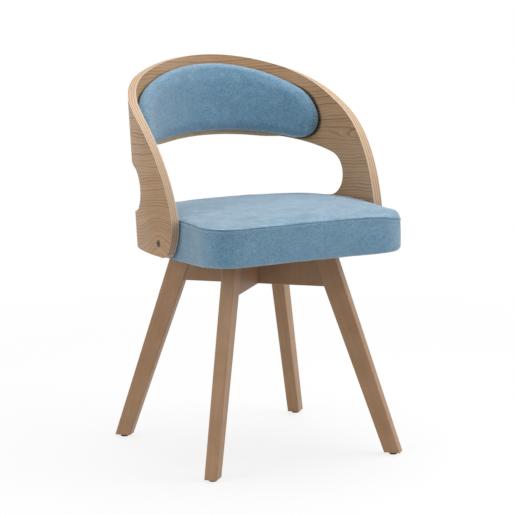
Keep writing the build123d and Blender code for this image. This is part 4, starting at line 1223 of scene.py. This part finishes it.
def edge_pad():
    """Black toothed strip behind the pad's rim, which stands out at the pad's two round ends."""
    bm = bmesh.new()
    out = EDGING_LIFT - PAD_STANDOFF
    inner, hidden, shown = [
        [Vector((along, out, up)) for along, up in pad_outline(inset)]
        for inset in (EDGING_INNER_INSET, EDGING_HIDDEN, -EDGING_WIDTH)]
    reach = max(place.x for place in shown)

    def end_share(place):
        return ease(abs(place.x) / reach, EDGING_SHOWS_FROM, EDGING_SHOWS_FULLY)

    outer = [low.lerp(high, end_share(high)) for low, high in zip(hidden, shown)]
    sleeve(bm, [loop_of(bm, inner), loop_of(bm, outer)])
    bmesh.ops.solidify(bm, geom=bm.faces[:], thickness=EDGING_THICKNESS)
    line = [Vector((along, out + EDGING_LIFT, up)) for along, up in pad_outline(0.0)]
    for place, direction in evenly(line, EDGING_PITCH):
        if end_share(place) < 0.05:
            continue
        outward = Vector((-direction.z, 0.0, direction.x))
        if outward.x * place.x + outward.z * (place.z - PAD_UPPER_CENTRE[1]) < 0:
            outward = -outward
        tooth = EDGING_WIDTH + EDGING_TOOTH * end_share(place)
        across = direction.cross(outward)
        turn = Matrix((outward, direction, across)).transposed().to_4x4()
        shape = Matrix.Diagonal((tooth, EDGING_TOOTH_WIDTH, EDGING_THICKNESS, 1.0))
        matrix = Matrix.Translation(place + outward * tooth / 2) @ turn @ shape
        bmesh.ops.create_cube(bm, size=1.0, matrix=matrix)
    bmesh.ops.recalc_face_normals(bm, faces=bm.faces)
    bend_all(bm)
    edging = new_piece("pad_edging", bm, [plastic_material("edging plastic", "131211", "1E1C1B", 0.5)])
    dress(edging, "seat", "black_plastic")


# ---- cloth under the seat

def build_under_cloth():
    """Black cloth stretched under the seat, open round the swivel."""
    bm = bmesh.new()
    height = SEAT_BOTTOM_Z - 0.0004
    edges = loop_of(bm, [(p.x, p.y, height) for p in seat_outline(DUST_COVER_INSET, SEAT_BOTTOM_Z)])
    half = DUST_COVER_OPENING / 2
    opening = [(half, half), (-half, half), (-half, -half), (half, -half)]
    edges += loop_of(bm, [(x, y + SWIVEL.y, height) for x, y in opening])
    faces = fill(bm, edges, (0, 0, 1))
    area = sum(face.calc_area() for face in faces)
    for axis in (0, 1):
        cut_across(bm, axis, -DUST_COVER_REACH, DUST_COVER_REACH, UNDER_CLOTH_STEP)
    for vert in bm.verts:
        away = max(abs(vert.co.x), abs(vert.co.y - SWIVEL.y))
        off_edge = ease(DUST_COVER_FLAT_FROM - away, 0.0, DUST_COVER_EDGE_MARGIN)
        clear = min(off_edge, ease(away - half, 0.0, DUST_COVER_OPENING_MARGIN))
        ripple = 0.6 + 0.4 * noise.noise(Vector((vert.co.x * 14, vert.co.y * 14, 0.0)))
        vert.co.z -= DUST_COVER_SAG * clear * ripple
    bmesh.ops.solidify(bm, geom=bm.faces[:], thickness=DUST_COVER_THICKNESS)
    bmesh.ops.recalc_face_normals(bm, faces=bm.faces)
    cloth = new_piece("under_cloth", bm, [black_cloth_material()])
    smooth(cloth)
    dress(cloth, "seat", "black_cloth", "seat_dust_cover")


# ---- finishes of the CAD nodes

def dress_nodes():
    """Gives every CAD node its material."""
    finishes = {
        "black_steel": metal_material("black coated steel", "17181A", "26282B", 0.45, 0.0, 0.0006),
        "zinc_steel": metal_material("zinc plated steel", "B9BDC0", "9C9F9B", 0.32, 1.0, 0.0004),
        "bronze_steel": metal_material("bronzed steel", "6B5340", "54402F", 0.38, 0.7, 0.0004),
        "black_plastic": plastic_material("black nylon", "1E1A18", "2C2725", 0.5),
        "white_plastic": plastic_material("white acetal", "E4E2DA", "D2CFC4", 0.45),
        "inner_wood": raw_ply_material(),
    }
    slots = {part["node"]: part["material_slot"] for part in frame["record"]["subparts"]}
    for name, node in frame["nodes"].items():
        if name in LEG_TURNS:
            turn = math.radians(LEG_TURNS[name])
            grain = (math.cos(turn) * LEG_GRAIN_LEAN, math.sin(turn) * LEG_GRAIN_LEAN, -1.0)
            material = solid_wood_material(name + " beech", grain, "B58E6B", "A67F5B", LEG_TURNS[name] / 45)
        elif name.startswith("cross_beam"):
            turn = math.radians(45 if name.endswith("lower") else 135)
            grain = (math.cos(turn), math.sin(turn), 0.0)
            # Painted shade: the beams get slightly darker beech colours than the legs, for the shade under the
            # seat.
            material = solid_wood_material(name + " beech", grain, "AE8868", "9C7655", 9.0)
        elif name == "leg_dowels":
            material = solid_wood_material("dowel beech", (0.7, 0.7, 0.0), "CDAF8E", "BB9872", 12.0)
        else:
            material = finishes.get(slots.get(name), finishes["inner_wood"])
        node.data.materials.clear()
        node.data.materials.append(material)


# ---- light and camera

def soft_light(name, place, size, power):
    """Square soft light at a place, turned to the chair."""
    data = bpy.data.lights.new(name, "AREA")
    data.shape = "SQUARE"
    data.size = size
    data.energy = power
    light = bpy.data.objects.new(name, data)
    light.location = place
    light.rotation_euler = (Vector(LIGHT_AIM) - Vector(place)).to_track_quat("-Z", "Y").to_euler()
    bpy.context.scene.collection.objects.link(light)


def set_lights():
    """Soft lights above, to the right and to the left, and a plain grey room that looks white."""
    for light in LIGHTS:
        soft_light(*light)
    world = bpy.data.worlds.new("studio")
    bpy.context.scene.world = world
    world.use_nodes = True
    shade = next(n for n in world.node_tree.nodes if n.type == "BACKGROUND")
    shade.inputs["Color"].default_value = (1.0, 1.0, 1.0, 1.0)
    feed(shade.inputs["Strength"], ranged(seen_directly(world.node_tree), 0.0, 1.0, ROOM_LIGHT, 1.0))


def seen_directly(tree):
    """1 where the camera sees a surface itself, in a reflection or through glass."""
    path = put(tree, "ShaderNodeLightPath").outputs
    rays = [Signal(path[kind]) for kind in ("Is Camera Ray", "Is Glossy Ray", "Is Transmission Ray")]
    return rays[0].math("MAXIMUM", rays[1]).math("MAXIMUM", rays[2])


def lay_floor():
    """Pale studio floor that fades into the white backdrop and keeps a soft shadow."""
    bm = bmesh.new()
    bmesh.ops.create_grid(bm, x_segments=8, y_segments=8, size=FLOOR_REACH)
    floor = new_piece("studio_floor", bm, [floor_material()])


def floor_material():
    """Pale matt floor, which glows more the further it lies from the chair."""
    material, tree, shader = new_material("studio floor")
    place = object_place(tree)
    pale = mixed(noise_at(place, 3.0), "F4F4F4", "FBFBFB")
    bounced = signal(tree, "ShaderNodeLightPath", output="Is Diffuse Ray")
    feed(shader.inputs["Base Color"], mixed(bounced, pale, "DADADA"))
    shader.inputs["Roughness"].default_value = 0.9
    shader.inputs["Specular IOR Level"].default_value = 0.1
    away = signal(tree, "ShaderNodeVectorMath", {0: place}, "Value", operation="LENGTH")
    share = seen_directly(tree) * ranged(away, 0.5, 1.8, FLOOR_GLOW, 1.0)
    glow = signal(tree, "ShaderNodeEmission", {"Color": (1.0, 1.0, 1.0, 1.0), "Strength": 1.0})
    blend = {0: share, 1: Signal(shader.outputs[0]), 2: glow}
    surface = next(n for n in tree.nodes if n.type == "OUTPUT_MATERIAL").inputs["Surface"]
    feed(surface, signal(tree, "ShaderNodeMixShader", blend))
    return material


def place_camera():
    """Camera at the photograph's angle."""
    data = bpy.data.cameras.new("camera")
    data.lens = CAMERA_LENS
    data.sensor_width = 36.0
    data.clip_start, data.clip_end = 0.1, 50.0
    back = Vector((
        math.sin(CAMERA_AZIMUTH) * math.cos(CAMERA_ELEVATION),
        -math.cos(CAMERA_AZIMUTH) * math.cos(CAMERA_ELEVATION), math.sin(CAMERA_ELEVATION)))
    side = Vector((math.cos(CAMERA_AZIMUTH), math.sin(CAMERA_AZIMUTH), 0.0))
    above = back.cross(side)
    aim = side * CAMERA_AIM_SIDE + Vector((0.0, SWIVEL.y, CAMERA_AIM_HEIGHT))
    across = math.cos(CAMERA_ROLL) * side + math.sin(CAMERA_ROLL) * above
    upward = math.cos(CAMERA_ROLL) * above - math.sin(CAMERA_ROLL) * side
    turn = Matrix((across, upward, back)).transposed().to_4x4()
    camera = bpy.data.objects.new("camera", data)
    camera.matrix_world = Matrix.Translation(aim + back * CAMERA_DISTANCE) @ turn
    bpy.context.scene.collection.objects.link(camera)
    bpy.context.scene.camera = camera


build_shell()
build_seat_cushion()
build_pad()
build_under_cloth()
dress_nodes()
set_lights()
lay_floor()
place_camera()
bpy.context.scene.view_settings.view_transform = "Standard"
